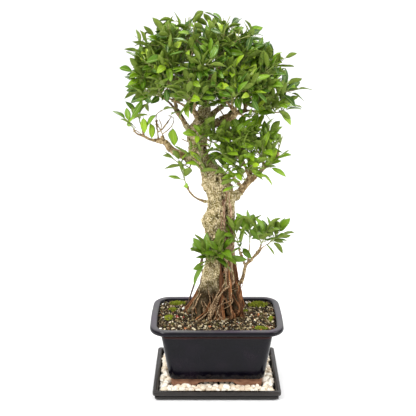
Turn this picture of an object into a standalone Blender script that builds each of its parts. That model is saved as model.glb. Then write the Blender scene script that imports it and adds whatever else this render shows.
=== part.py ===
"""Indoor fig bonsai in a glazed rectangular pot, on a drip tray filled with pebbles.

The origin is the centre of the tray's underside. +Z is up, +X is to the right and -Y is the front.
Everything that belongs to the tree is placed by its height above the soil.
"""

import math
import random

import bmesh
import bpy
from mathutils import Matrix, Vector
from mathutils.bvhtree import BVHTree

for old_object in list(bpy.data.objects):
    bpy.data.objects.remove(old_object, do_unlink=True)

# ---------------------------------------------------------------- driving dimensions, in metres
TOUCH_GAP = 0.0003            # left between two pieces that rest on or meet each other

TRAY_LENGTH = 0.244
TRAY_DEPTH = 0.194
TRAY_HEIGHT = 0.020
TRAY_CORNER = 0.007
TRAY_FLOOR = 0.005
TRAY_LIP = 0.008              # width of the tray's flat top edge
TRAY_STEP = 0.004             # how far the upper band stands out over the lower one
TRAY_STEP_HEIGHT = 0.011      # height of the line between the two bands
TRAY_FOOT_INSET = 0.008
TRAY_FOOT_HEIGHT = 0.0025

PEBBLE_TOP = 0.0125           # top of the pebble bed
PEBBLE_SEAT = 0.0093          # where the pot's feet have settled into the bed
PEBBLE_MARGIN = 0.0015        # room left round the pot's feet

RIM_LENGTH = 0.257            # over the middle of the short sides, which bow out
RIM_DEPTH = 0.178
RIM_BULGE = 0.003             # how far the middle of each short side bows out
RIM_WIDTH = 0.014
RIM_HEIGHT = 0.012
RIM_CORNER = 0.033
POT_HEIGHT = 0.130
NECK_HEIGHT = 0.006           # dark band between the rim and the body
BODY_LENGTH_TOP = 0.212
BODY_DEPTH_TOP = 0.146
BODY_LENGTH_BOTTOM = 0.184
BODY_DEPTH_BOTTOM = 0.124
BODY_CORNER = 0.014
POT_WALL = 0.009
POT_FLOOR = 0.008
FOOT_HEIGHT = 0.018           # bare clay strip under the glaze
FOOT_LENGTH = 0.176
FOOT_DEPTH = 0.116
FOOT_WIDTH = 0.013
ARCH_HEIGHT = 0.0125          # height of the openings between the feet
ARCH_LENGTH = 0.092
ARCH_DEPTH = 0.050
DRAIN_RADIUS = 0.011
DRAIN_SPACING = 0.084

SCREEN_SIDE = 0.034
SCREEN_THICKNESS = 0.0012
SCREEN_HOLES = 3              # holes along each side
SCREEN_HOLE_SIDE = 0.006
SCREEN_HOLE_PITCH = 0.0095

SOIL_BELOW_RIM = 0.0055       # how far the soil stops below the top of the rim

TREE_HEIGHT_FACTOR = 1.0      # stretches every height of the tree
TREE_SET_BACK = 0.014         # how far behind the pot's middle the tree is planted
BEND_MARGIN = 0.001           # least distance from a limb's joint to a bend of its route
STOCK_RADIUS = 0.030          # buried root stock under the trunk
STOCK_DEPTH = 0.036
CROWN_LENGTH = 0.156          # half-sizes of the crown's dome
CROWN_DEPTH = 0.122
CROWN_HEIGHT = 0.150
LEAF_LENGTH = 0.036
LEAF_WIDTH = 0.017
LEAF_THICKNESS = 0.0012
STALK_RADIUS = 0.0011
SHOOT_LENGTH = 0.042
SHOOT_RADIUS = 0.0012

# ---------------------------------------------------------------- sizes that follow from them
POT_BOTTOM = PEBBLE_SEAT + TOUCH_GAP
BODY_BOTTOM = POT_BOTTOM + FOOT_HEIGHT
RIM_TOP = POT_BOTTOM + POT_HEIGHT
RIM_BOTTOM = RIM_TOP - RIM_HEIGHT
BODY_TOP = RIM_BOTTOM - NECK_HEIGHT
FLOOR_BOTTOM = POT_BOTTOM + ARCH_HEIGHT
FLOOR_TOP = FLOOR_BOTTOM + POT_FLOOR
SOIL_TOP = RIM_TOP - SOIL_BELOW_RIM
SOIL_BOTTOM = FLOOR_TOP + SCREEN_THICKNESS + 2 * TOUCH_GAP
MOUTH_LENGTH = RIM_LENGTH - 2 * (RIM_BULGE + RIM_WIDTH)
MOUTH_DEPTH = RIM_DEPTH - 2 * RIM_WIDTH

# ---------------------------------------------------------------- collections and materials
parts_collection = bpy.data.collections.new("potted_fig_bonsai")
bpy.context.scene.collection.children.link(parts_collection)
cutters_collection = bpy.data.collections.new("cutters")
bpy.context.scene.collection.children.link(cutters_collection)


def make_material(name, colour, roughness):
    """A plain Principled material."""
    material = bpy.data.materials.new(name)
    material.use_nodes = True
    shader = material.node_tree.nodes["Principled BSDF"]
    shader.inputs["Base Color"].default_value = (*colour, 1.0)
    shader.inputs["Roughness"].default_value = roughness
    shader.inputs["Metallic"].default_value = 0.0
    return material


tray_clay = make_material("tray_clay", (0.055, 0.045, 0.040), 0.45)
pebble_stone = make_material("pebble_stone", (0.72, 0.66, 0.54), 0.60)
pot_glaze = make_material("pot_glaze", (0.020, 0.018, 0.022), 0.15)
screen_mesh = make_material("screen_mesh", (0.03, 0.03, 0.03), 0.60)
potting_mix = make_material("potting_mix", (0.12, 0.08, 0.045), 0.90)
moss_green = make_material("moss_green", (0.13, 0.18, 0.03), 0.95)
fig_bark = make_material("fig_bark", (0.32, 0.26, 0.15), 0.85)
root_bark = make_material("root_bark", (0.13, 0.07, 0.04), 0.85)
leaf_green = make_material("leaf_green", (0.09, 0.24, 0.02), 0.35)


# ---------------------------------------------------------------- modelling helpers
def keep(mesh_object, material, smooth_angle=math.radians(40)):
    """Gives a finished piece its material and soft shading, and puts it among the parts."""
    mesh_object.data.materials.clear()
    mesh_object.data.materials.append(material)
    mesh_object.data.shade_smooth()
    mesh_object.data.set_sharp_from_angle(angle=smooth_angle)
    parts_collection.objects.link(mesh_object)
    return mesh_object


def object_from(bm, name):
    """A mesh object, not yet in any collection."""
    bmesh.ops.recalc_face_normals(bm, faces=bm.faces)
    mesh = bpy.data.meshes.new(name)
    bm.to_mesh(mesh)
    bm.free()
    return bpy.data.objects.new(name, mesh)


def combine(base, others, operation):
    """Joins or cuts base with closed pieces, one after another, and returns base."""
    scene_collection = bpy.context.scene.collection
    scene_collection.objects.link(base)
    for other in others:
        cutters_collection.objects.link(other)
        other.hide_render = True
        other.display_type = "WIRE"
        boolean = base.modifiers.new("combine", "BOOLEAN")
        boolean.operation = operation
        boolean.solver = "EXACT"
        boolean.object = other
        depsgraph = bpy.context.evaluated_depsgraph_get()
        result = bpy.data.meshes.new_from_object(base.evaluated_get(depsgraph))
        base.modifiers.clear()
        base.data = result
        bpy.data.objects.remove(other, do_unlink=True)
    scene_collection.objects.unlink(base)
    return base


def rounded_rectangle(length, depth, corner, height, bulge=0.0, corner_points=5, side_points=3):
    """One level ring, with rounded corners and short sides that may bow outwards."""
    ring = []
    half_x = length / 2
    half_y = depth / 2
    for quadrant in range(4):
        side_x = 1 if quadrant in (0, 3) else -1
        side_y = 1 if quadrant in (0, 1) else -1
        for step in range(corner_points + 1):
            angle = math.radians(90 * (quadrant + step / corner_points))
            ring.append(Vector((side_x * (half_x - corner) + corner * math.cos(angle),
                                side_y * (half_y - corner) + corner * math.sin(angle), height)))
        if quadrant in (1, 3):
            for step in range(1, side_points + 1):
                share = 1 - 2 * step / (side_points + 1)
                ring.append(Vector((side_x * half_x, side_y * share * (half_y - corner), height)))
    for point in ring:
        point.x += math.copysign(bulge * (1 - (point.y / half_y) ** 2), point.x)
    return ring


def loft(name, rings):
    """A closed solid through level rings that all have as many points, in order."""
    bm = bmesh.new()
    levels = [[bm.verts.new(point) for point in ring] for ring in rings]
    count = len(rings[0])
    for lower, upper in zip(levels, levels[1:]):
        for i in range(count):
            j = (i + 1) % count
            bm.faces.new((lower[i], lower[j], upper[j], upper[i]))
    bm.faces.new(levels[0])
    bm.faces.new(levels[-1])
    return object_from(bm, name)


def box(name, size, centre):
    """A plain box, used for cuts and small plates."""
    bm = bmesh.new()
    bmesh.ops.create_cube(bm, size=1.0)
    bmesh.ops.scale(bm, vec=size, verts=bm.verts)
    bmesh.ops.translate(bm, vec=centre, verts=bm.verts)
    return object_from(bm, name)


def cylinder(name, radius_low, radius_high, low, high, x=0.0, y=0.0, sides=20):
    """An upright round plug, straight or tapered."""
    bm = bmesh.new()
    bmesh.ops.create_cone(bm, cap_ends=True, segments=sides, radius1=radius_low, radius2=radius_high,
                          depth=high - low)
    bmesh.ops.translate(bm, vec=(x, y, (low + high) / 2), verts=bm.verts)
    return object_from(bm, name)


# ---------------------------------------------------------------- drip tray and its pebbles
def make_tray():
    """A shallow tray: foot, inset lower band, proud upper band, flat lip and a sunk floor."""
    inset = TRAY_STEP
    lip = TRAY_LIP
    profile = [
        (TRAY_FOOT_INSET, 0.0),
        (TRAY_FOOT_INSET, TRAY_FOOT_HEIGHT),
        (inset, TRAY_FOOT_HEIGHT + 0.0008),
        (inset, TRAY_STEP_HEIGHT - 0.0008),
        (0.0004, TRAY_STEP_HEIGHT + 0.0004),
        (0.0, TRAY_STEP_HEIGHT + 0.0012),
        (0.0, TRAY_HEIGHT - 0.0010),
        (0.0010, TRAY_HEIGHT),
        (lip, TRAY_HEIGHT),
        (lip + 0.0006, TRAY_HEIGHT - 0.0008),
        (lip + 0.0020, TRAY_FLOOR + 0.0015),
        (lip + 0.0035, TRAY_FLOOR),
    ]
    rings = [
        rounded_rectangle(TRAY_LENGTH - 2 * inward, TRAY_DEPTH - 2 * inward,
                          max(TRAY_CORNER - inward, 0.0012), height, corner_points=3)
        for inward, height in profile
    ]
    return keep(loft("drip_tray", rings), tray_clay)


def make_pebbles():
    """The bed of pebbles as one solid, dished where the pot's feet have settled."""
    inset = TRAY_LIP + 0.0035 + TOUCH_GAP
    length = TRAY_LENGTH - 2 * inset
    depth = TRAY_DEPTH - 2 * inset
    bottom = TRAY_FLOOR + TOUCH_GAP
    rings = [
        rounded_rectangle(length, depth, 0.003, bottom, corner_points=3),
        rounded_rectangle(length, depth, 0.003, PEBBLE_TOP - 0.002, corner_points=3),
        rounded_rectangle(length - 0.004, depth - 0.004, 0.003, PEBBLE_TOP, corner_points=3),
    ]
    bed = loft("tray_pebbles", rings)
    dish = box(
        "pot_seat",
        (FOOT_LENGTH + 2 * PEBBLE_MARGIN, FOOT_DEPTH + 2 * PEBBLE_MARGIN, TRAY_HEIGHT),
        (0.0, 0.0, PEBBLE_SEAT + TRAY_HEIGHT / 2),
    )
    return keep(combine(bed, [dish], "DIFFERENCE"), pebble_stone)


# ---------------------------------------------------------------- pot
def inner_section(height, clearance=0.0):
    """The ring just inside the pot's wall at a height, or a clearance further in."""
    wall = 2 * (POT_WALL + clearance)
    mouth_length = MOUTH_LENGTH - 2 * clearance
    mouth_depth = MOUTH_DEPTH - 2 * clearance
    flare_start = BODY_TOP - 0.004
    if height <= flare_start:
        share = (height - BODY_BOTTOM) / (BODY_TOP - BODY_BOTTOM)
        length = BODY_LENGTH_BOTTOM + share * (BODY_LENGTH_TOP - BODY_LENGTH_BOTTOM) - wall
        depth = BODY_DEPTH_BOTTOM + share * (BODY_DEPTH_TOP - BODY_DEPTH_BOTTOM) - wall
        return rounded_rectangle(length, depth, max(BODY_CORNER - clearance, 0.004), height)
    share_flare = (flare_start - BODY_BOTTOM) / (BODY_TOP - BODY_BOTTOM)
    low_length = BODY_LENGTH_BOTTOM + share_flare * (BODY_LENGTH_TOP - BODY_LENGTH_BOTTOM) - wall
    low_depth = BODY_DEPTH_BOTTOM + share_flare * (BODY_DEPTH_TOP - BODY_DEPTH_BOTTOM) - wall
    share = min((height - flare_start) / (RIM_TOP - 0.003 - flare_start), 1.0)
    length = low_length + share * (mouth_length - low_length)
    depth = low_depth + share * (mouth_depth - low_depth)
    corner = BODY_CORNER + share * (RIM_CORNER - RIM_WIDTH - BODY_CORNER) - clearance
    return rounded_rectangle(length, depth, max(corner, 0.004), height, share * RIM_BULGE)


def rim_section(inset, height):
    """A ring of the rim, a distance in from its widest line."""
    return rounded_rectangle(RIM_LENGTH - 2 * RIM_BULGE - 2 * inset, RIM_DEPTH - 2 * inset,
                             RIM_CORNER - inset, height, RIM_BULGE)


def body_section(height, inset=0.0):
    """A ring of the tapered body's outside."""
    share = (height - BODY_BOTTOM) / (BODY_TOP - BODY_BOTTOM)
    length = BODY_LENGTH_BOTTOM + share * (BODY_LENGTH_TOP - BODY_LENGTH_BOTTOM) - 2 * inset
    depth = BODY_DEPTH_BOTTOM + share * (BODY_DEPTH_TOP - BODY_DEPTH_BOTTOM) - 2 * inset
    return rounded_rectangle(length, depth, BODY_CORNER, height)


def make_pot():
    """Rim, neck, tapered body, floor with two drain holes, and four feet with openings between."""
    foot_corner = BODY_CORNER - 0.003
    rings = [
        rounded_rectangle(FOOT_LENGTH, FOOT_DEPTH, foot_corner, POT_BOTTOM),
        rounded_rectangle(FOOT_LENGTH, FOOT_DEPTH, foot_corner, BODY_BOTTOM - 0.0008),
        body_section(BODY_BOTTOM, 0.0008),
        body_section(BODY_BOTTOM + 0.003),
        body_section(BODY_TOP - 0.0015),
        body_section(BODY_TOP, 0.0012),
        body_section(BODY_TOP + 0.0006, 0.0030),
        body_section(RIM_BOTTOM, 0.0030),
        rim_section(0.0040, RIM_BOTTOM + 0.0010),
        rim_section(0.0010, RIM_BOTTOM + 0.0035),
        rim_section(0.0, RIM_BOTTOM + 0.0065),
        rim_section(0.0012, RIM_TOP - 0.0022),
        rim_section(0.0040, RIM_TOP - 0.0004),
        rim_section(0.0070, RIM_TOP),
        rim_section(0.0115, RIM_TOP - 0.0004),
        inner_section(RIM_TOP - 0.0030),
        inner_section(BODY_TOP - 0.004),
        inner_section(FLOOR_TOP + 0.004),
        rounded_rectangle(BODY_LENGTH_BOTTOM - 2 * POT_WALL - 0.006, BODY_DEPTH_BOTTOM - 2 * POT_WALL - 0.006,
                          BODY_CORNER, FLOOR_TOP),
    ]
    pot = loft("pot", rings)
    below = POT_BOTTOM - 0.010
    underside = loft("underside", [
        rounded_rectangle(FOOT_LENGTH - 2 * FOOT_WIDTH, FOOT_DEPTH - 2 * FOOT_WIDTH, 0.006, below),
        rounded_rectangle(FOOT_LENGTH - 2 * FOOT_WIDTH, FOOT_DEPTH - 2 * FOOT_WIDTH, 0.006, FLOOR_BOTTOM),
    ])
    cuts = [underside]
    slope = 0.012
    for name, half, across in (("front_arch", ARCH_LENGTH / 2, True), ("side_arch", ARCH_DEPTH / 2, False)):
        bm = bmesh.new()
        outline = [(-half, below), (half, below), (half, POT_BOTTOM), (half - slope, FLOOR_BOTTOM - 0.0005),
                   (slope - half, FLOOR_BOTTOM - 0.0005), (-half, POT_BOTTOM)]
        face = bm.faces.new([bm.verts.new((u, -RIM_LENGTH, z)) for u, z in outline])
        swept = bmesh.ops.extrude_face_region(bm, geom=[face])
        moved = [item for item in swept["geom"] if isinstance(item, bmesh.types.BMVert)]
        bmesh.ops.translate(bm, vec=(0.0, 2 * RIM_LENGTH, 0.0), verts=moved)
        if not across:
            quarter_turn = Matrix.Rotation(math.radians(90), 3, "Z")
            bmesh.ops.rotate(bm, cent=(0, 0, 0), matrix=quarter_turn, verts=bm.verts)
        cuts.append(object_from(bm, name))
    for side in (-1, 1):
        cuts.append(cylinder("drain_hole", DRAIN_RADIUS, DRAIN_RADIUS, below, FLOOR_TOP + 0.010,
                             x=side * DRAIN_SPACING / 2))
    return keep(combine(pot, cuts, "DIFFERENCE"), pot_glaze)


def make_screen(name, x):
    """A square of coarse plastic netting laid over a drain hole."""
    middle = FLOOR_TOP + TOUCH_GAP + SCREEN_THICKNESS / 2
    plate = box(name, (SCREEN_SIDE, SCREEN_SIDE, SCREEN_THICKNESS), (x, 0.0, middle))
    holes = []
    for row in range(SCREEN_HOLES):
        for column in range(SCREEN_HOLES):
            offset_x = (column - (SCREEN_HOLES - 1) / 2) * SCREEN_HOLE_PITCH
            offset_y = (row - (SCREEN_HOLES - 1) / 2) * SCREEN_HOLE_PITCH
            holes.append(box("screen_hole", (SCREEN_HOLE_SIDE, SCREEN_HOLE_SIDE, 4 * SCREEN_THICKNESS),
                             (x + offset_x, offset_y, middle)))
    return keep(combine(plate, holes, "DIFFERENCE"), screen_mesh)


# ---------------------------------------------------------------- soil and moss
def make_soil():
    """The block of potting mix, with the pocket that holds the buried root stock."""
    heights = [SOIL_BOTTOM, SOIL_BOTTOM + 0.004, BODY_TOP - 0.004 - TOUCH_GAP, SOIL_TOP - 0.0010]
    rings = [inner_section(height, TOUCH_GAP + (0.004 if height == SOIL_BOTTOM else 0.0))
             for height in heights]
    rings.append([point + Vector((-math.copysign(0.001, point.x), -math.copysign(0.001, point.y), 0.001))
                  for point in rings[-1]])
    soil = loft("soil", rings)
    pocket = cylinder("stock_pocket", 0.6 * STOCK_RADIUS + TOUCH_GAP, STOCK_RADIUS + TOUCH_GAP,
                      SOIL_TOP - STOCK_DEPTH - TOUCH_GAP, SOIL_TOP + 0.001, y=TREE_SET_BACK)
    return keep(combine(soil, [pocket], "DIFFERENCE"), potting_mix)


def make_moss(name, side_x, inset_x, side_y, inset_y, length, depth, height, turn):
    """A low cushion of moss lying on the soil, a distance in from two edges of the pot's mouth."""
    x = side_x * (MOUTH_LENGTH / 2 - inset_x)
    y = side_y * (MOUTH_DEPTH / 2 - inset_y)
    bm = bmesh.new()
    bmesh.ops.create_uvsphere(bm, u_segments=12, v_segments=6, radius=0.5)
    lower = [vertex for vertex in bm.verts if vertex.co.z < -0.01]
    for vertex in lower:
        vertex.co.z = -0.06
    bmesh.ops.scale(bm, vec=(length, depth, 2 * height), verts=bm.verts)
    bmesh.ops.remove_doubles(bm, verts=bm.verts, dist=0.00001)
    bmesh.ops.rotate(bm, cent=(0, 0, 0), matrix=Matrix.Rotation(turn, 3, "Z"), verts=bm.verts)
    bottom = min(vertex.co.z for vertex in bm.verts)
    bmesh.ops.translate(bm, vec=(x, y, SOIL_TOP + TOUCH_GAP - bottom), verts=bm.verts)
    return keep(object_from(bm, name), moss_green)


# ---------------------------------------------------------------- wood
def tree_point(x, y, height):
    """A point of the tree, given by its height above the soil."""
    return Vector((x, y + TREE_SET_BACK, SOIL_TOP + TREE_HEIGHT_FACTOR * height))


def smooth_route(stations, steps):
    """A flowing route through stations of x, y, height above the soil and radius."""
    points = [Vector((*tree_point(x, y, height), radius)) for x, y, height, radius in stations]
    ends = [2 * points[0] - points[1], *points, 2 * points[-1] - points[-2]]
    route = []
    for i in range(1, len(ends) - 2):
        before, start, end, after = ends[i - 1:i + 3]
        for step in range(steps):
            t = step / steps
            route.append(0.5 * (2 * start + (end - before) * t
                                + (2 * before - 5 * start + 4 * end - after) * t ** 2
                                + (3 * start - before - 3 * end + after) * t ** 3))
    route.append(ends[-2])
    return route


def tube(name, route, fineness=1):
    """A tapering round stem along a route of x, y, z and radius, as a mesh with closed ends."""
    curve = bpy.data.curves.new(name, "CURVE")
    curve.dimensions = "3D"
    curve.bevel_depth = 1.0
    curve.bevel_resolution = fineness
    curve.use_fill_caps = True
    spline = curve.splines.new("POLY")
    spline.points.add(len(route) - 1)
    for point, station in zip(spline.points, route):
        point.co = (station[0], station[1], station[2], 1.0)
        point.radius = station[3]
    curve_object = bpy.data.objects.new(name + "_route", curve)
    bpy.context.scene.collection.objects.link(curve_object)
    depsgraph = bpy.context.evaluated_depsgraph_get()
    mesh = bpy.data.meshes.new_from_object(curve_object.evaluated_get(depsgraph))
    stem = bpy.data.objects.new(name, mesh)
    stem.matrix_world = curve_object.matrix_world
    bpy.data.objects.remove(curve_object, do_unlink=True)
    bm = bmesh.new()
    bm.from_mesh(mesh)
    bmesh.ops.remove_doubles(bm, verts=bm.verts, dist=0.00001)
    bmesh.ops.recalc_face_normals(bm, faces=bm.faces)
    bm.to_mesh(mesh)
    bm.free()
    return stem


def cut_route(route, length):
    """Splits a route a distance along it, clear of its bends. The far part starts a touch gap further on."""
    travelled = 0.0
    for i, (start, end) in enumerate(zip(route, route[1:])):
        step = (end.xyz - start.xyz).length
        if travelled + step > length:
            break
        travelled += step
    cut = min(max(length - travelled, BEND_MARGIN), step - BEND_MARGIN - TOUCH_GAP)
    near = [*route[:i + 1], start.lerp(end, cut / step)]
    far = [start.lerp(end, (cut + TOUCH_GAP) / step), *route[i + 1:]]
    return near, far


# Trunk stations: height above the soil, middle x and y, and half-widths across and in depth.
TRUNK_STATIONS = [
    (0.0004, -0.003, 0.000, 0.043, 0.030),
    (0.033, -0.005, 0.000, 0.039, 0.028),
    (0.065, -0.001, 0.000, 0.030, 0.026),
    (0.085, 0.000, 0.000, 0.027, 0.025),
    (0.112, 0.001, 0.000, 0.023, 0.024),
    (0.137, 0.000, 0.000, 0.0185, 0.022),
    (0.165, -0.002, 0.000, 0.020, 0.023),
    (0.193, -0.004, 0.000, 0.025, 0.024),
    (0.216, 0.001, 0.000, 0.0185, 0.021),
    (0.240, 0.003, 0.000, 0.021, 0.021),
    (0.262, 0.000, 0.000, 0.025, 0.022),
    (0.279, -0.002, 0.000, 0.026, 0.022),
    (0.294, -0.012, 0.000, 0.022, 0.020),
    (0.313, -0.031, -0.001, 0.0155, 0.017),
    (0.332, -0.036, -0.002, 0.0160, 0.016),
    (0.351, -0.037, -0.003, 0.0175, 0.016),
    (0.366, -0.036, -0.003, 0.0190, 0.017),
    (0.380, -0.027, -0.002, 0.0180, 0.016),
    (0.395, -0.024, 0.000, 0.0130, 0.013),
    (0.411, -0.022, 0.000, 0.0100, 0.011),
]
TRUNK_LOBES = 5
TRUNK_POINTS = 20
CROWN_CENTRE = (-0.018, 0.004, 0.425)

# Wood that is fused to the trunk: strands of aerial root down its right side, and surface roots.
STRANDS = [
    [(0.024, -0.004, 0.262, 0.0070), (0.026, -0.006, 0.205, 0.0065), (0.025, -0.008, 0.130, 0.0065),
     (0.033, -0.012, 0.062, 0.0065), (0.038, -0.016, 0.012, 0.0070)],
    [(0.030, 0.006, 0.238, 0.0050), (0.0285, 0.006, 0.180, 0.0055), (0.029, 0.004, 0.120, 0.0060),
     (0.037, 0.004, 0.062, 0.0065), (0.043, 0.006, 0.012, 0.0075)],
    [(0.012, -0.018, 0.226, 0.0040), (0.014, -0.020, 0.150, 0.0045), (0.020, -0.026, 0.070, 0.0045),
     (0.026, -0.034, 0.012, 0.0050)],
]
SURFACE_ROOT_COUNT = 9
SURFACE_ROOT_REACH = 0.013    # how far a surface root runs out past the trunk's foot
SURFACE_ROOT_RADIUS = 0.0042


def trunk_section(height):
    """Middle and half-widths of the trunk at a height above the soil."""
    for low, high in zip(TRUNK_STATIONS, TRUNK_STATIONS[1:]):
        if height <= high[0]:
            share = (height - low[0]) / (high[0] - low[0])
            return [a + share * (b - a) for a, b in zip(low, high)][1:]
    return TRUNK_STATIONS[-1][1:]


def trunk_ring(station):
    """A level ring of the trunk, fluted most strongly near the ground."""
    height, middle_x, middle_y, half_x, half_y = station
    flute = 0.09 * math.exp(-height / 0.12) + 0.03
    ring = []
    for i in range(TRUNK_POINTS):
        angle = 2 * math.pi * i / TRUNK_POINTS
        swell = 1 + flute * math.cos(TRUNK_LOBES * angle + 6 * height)
        ring.append(tree_point(middle_x + half_x * swell * math.cos(angle),
                               middle_y + half_y * swell * math.sin(angle), height))
    return ring


def surface_root(index):
    """A root that leaves the trunk's foot and runs out over the soil."""
    angle = 2 * math.pi * (index + 0.65) / SURFACE_ROOT_COUNT
    radius = SURFACE_ROOT_RADIUS * (1 + 0.25 * math.sin(7 * index))
    middle_x, middle_y, half_x, half_y = trunk_section(0.020)
    stations = []
    for reach, height, share in ((-0.010, 0.040, 1.0), (0.002, 0.020, 1.0), (0.010, 0.0, 0.85),
                                 (SURFACE_ROOT_REACH, 0.0, 0.55)):
        turn = angle + 0.25 * math.sin(3 * index) * max(reach, 0.0) / SURFACE_ROOT_REACH
        stations.append((middle_x + (half_x + reach) * math.cos(turn),
                         middle_y + (half_y + reach) * math.sin(turn), height, radius * share))
    route = smooth_route(stations, 2)
    for station in route:
        station.z = max(station.z, SOIL_TOP + station[3] + TOUCH_GAP)
    return tube("surface_root", route)


# Limbs: stations of x, y, height above the soil and radius, then the length kept on the trunk.
LIMBS = {
    "limb_left": ([
        (-0.028, 0.000, 0.303, 0.0080), (-0.045, -0.002, 0.312, 0.0075), (-0.060, -0.003, 0.318, 0.0068),
        (-0.083, -0.004, 0.329, 0.0062), (-0.096, -0.004, 0.344, 0.0055), (-0.111, -0.005, 0.349, 0.0045),
    ], 0.030),
    "limb_lower_right": ([
        (0.018, 0.000, 0.238, 0.0095), (0.036, -0.002, 0.242, 0.0084), (0.049, -0.004, 0.257, 0.0068),
        (0.062, -0.006, 0.272, 0.0056), (0.078, -0.008, 0.288, 0.0044), (0.096, -0.010, 0.304, 0.0034),
    ], 0.031),
    "limb_crown_left": ([
        (-0.036, 0.000, 0.360, 0.0070), (-0.054, -0.003, 0.371, 0.0054), (-0.063, -0.005, 0.388, 0.0044),
        (-0.076, -0.008, 0.406, 0.0038),
    ], 0.029),
    "limb_crown_right": ([
        (-0.024, 0.000, 0.376, 0.0070), (0.004, 0.003, 0.386, 0.0050), (0.030, 0.006, 0.397, 0.0042),
        (0.056, 0.008, 0.402, 0.0036),
    ], 0.030),
    "limb_crown_front_right": ([
        (-0.024, -0.004, 0.372, 0.0066), (-0.006, -0.024, 0.380, 0.0048), (0.020, -0.040, 0.393, 0.0040),
        (0.036, -0.050, 0.408, 0.0034),
    ], 0.030),
    "limb_crown_front_left": ([
        (-0.030, -0.004, 0.386, 0.0062), (-0.036, -0.024, 0.396, 0.0046), (-0.044, -0.042, 0.412, 0.0036),
    ], 0.025),
    "limb_crown_back_right": ([
        (-0.020, 0.003, 0.384, 0.0066), (-0.006, 0.026, 0.394, 0.0048), (0.016, 0.046, 0.408, 0.0036),
    ], 0.028),
    "limb_crown_back_left": ([
        (-0.028, 0.003, 0.378, 0.0066), (-0.038, 0.026, 0.388, 0.0048), (-0.050, 0.046, 0.404, 0.0036),
    ], 0.028),
    "limb_crown_top": ([
        (-0.022, 0.000, 0.405, 0.0086), (-0.021, 0.001, 0.424, 0.0068), (-0.016, 0.003, 0.448, 0.0052),
        (-0.012, 0.004, 0.468, 0.0038),
    ], 0.014),
}

# Side twigs: the limb that carries them, then stations from inside the limb out to the twig's tip.
TWIGS = [
    ("limb_left", [
        (-0.108, -0.005, 0.348, 0.0036), (-0.123, -0.006, 0.350, 0.0026), (-0.136, -0.008, 0.357, 0.0022),
        (-0.148, -0.010, 0.362, 0.0019), (-0.154, -0.010, 0.371, 0.0015),
    ]),
    ("limb_left", [
        (-0.135, -0.008, 0.3565, 0.0018), (-0.138, -0.006, 0.370, 0.0016), (-0.141, -0.004, 0.381, 0.0014),
    ]),
    ("limb_left", [
        (-0.108, -0.005, 0.347, 0.0022), (-0.110, -0.003, 0.364, 0.0016), (-0.112, -0.001, 0.386, 0.0013),
    ]),
    ("limb_left", [
        (-0.1095, -0.003, 0.363, 0.0014), (-0.100, -0.002, 0.370, 0.0013), (-0.084, 0.000, 0.392, 0.0012),
    ]),
    ("limb_left", [
        (-0.0965, -0.004, 0.344, 0.0034), (-0.103, -0.006, 0.357, 0.0030),
    ]),
    ("limb_lower_right", [
        (0.094, -0.010, 0.302, 0.0040), (0.108, -0.010, 0.316, 0.0028), (0.114, -0.012, 0.330, 0.0018),
    ]),
    ("limb_lower_right", [
        (0.077, -0.008, 0.287, 0.0030), (0.086, -0.020, 0.304, 0.0022), (0.084, -0.030, 0.320, 0.0016),
    ]),
    ("limb_lower_right", [
        (0.062, -0.006, 0.272, 0.0032), (0.056, -0.020, 0.290, 0.0024), (0.050, -0.030, 0.308, 0.0016),
    ]),
    ("limb_lower_right", [
        (0.063, -0.006, 0.273, 0.0032), (0.064, 0.010, 0.294, 0.0024), (0.060, 0.020, 0.316, 0.0016),
    ]),
    ("limb_lower_right", [
        (0.050, -0.004, 0.258, 0.0034), (0.040, -0.022, 0.270, 0.0024), (0.026, -0.034, 0.290, 0.0016),
    ]),
    ("stem_low_right", [
        (0.055, -0.014, 0.103, 0.0022), (0.048, -0.020, 0.126, 0.0018), (0.042, -0.025, 0.146, 0.0015),
    ]),
    ("stem_low_right", [
        (0.061, -0.014, 0.111, 0.0020), (0.062, -0.008, 0.132, 0.0017), (0.064, -0.004, 0.150, 0.0014),
    ]),
    ("stem_low_right", [
        (0.0745, -0.016, 0.127, 0.0018), (0.080, -0.024, 0.140, 0.0015), (0.084, -0.028, 0.152, 0.0013),
    ]),
]
LIMBS["stem_low_right"] = ([
    (0.034, -0.014, 0.050, 0.0044), (0.049, -0.016, 0.076, 0.0034), (0.055, -0.014, 0.103, 0.0028),
    (0.062, -0.014, 0.112, 0.0024), (0.075, -0.016, 0.128, 0.0020), (0.088, -0.014, 0.142, 0.0017),
    (0.100, -0.010, 0.148, 0.0014),
], 0.024)
LIMBS["twig_lower_left"] = ([
    (-0.010, -0.002, 0.228, 0.0030), (-0.026, -0.003, 0.231, 0.0022), (-0.041, -0.003, 0.238, 0.0018),
    (-0.052, -0.004, 0.250, 0.0016), (-0.057, -0.004, 0.262, 0.0013),
], 0.014)

# Where the crown's twigs end: azimuth from +X towards +Y and elevation, in degrees.
CROWN_FANS = {
    "limb_crown_right": [(-20, 6), (14, 8), (-2, 34), (-6, -15)],
    "limb_crown_front_right": [(-62, 4), (-42, 32), (-84, 32)],
    "limb_crown_front_left": [(-104, 2), (-126, 31), (-146, 6)],
    "limb_crown_left": [(174, 4), (-168, 29), (158, 32)],
    "limb_crown_back_left": [(128, 6), (116, 36)],
    "limb_crown_back_right": [(58, 8), (62, 38)],
    "limb_crown_top": [(-68, 62), (18, 62), (116, 64), (-158, 62)],
}
TWIG_REACH = 0.60             # how far out in the crown its twigs end
TWIG_RADIUS = 0.0025
TWIG_TIP_RADIUS = 0.0015
AERIAL_ROOT = [
    (-0.024, -0.003, 0.150, 0.0018), (-0.030, -0.002, 0.118, 0.0017), (-0.038, 0.000, 0.086, 0.0016),
    (-0.047, 0.006, 0.058, 0.0015), (-0.054, 0.012, 0.032, 0.0015), (-0.059, 0.018, 0.0022, 0.0015),
]
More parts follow.
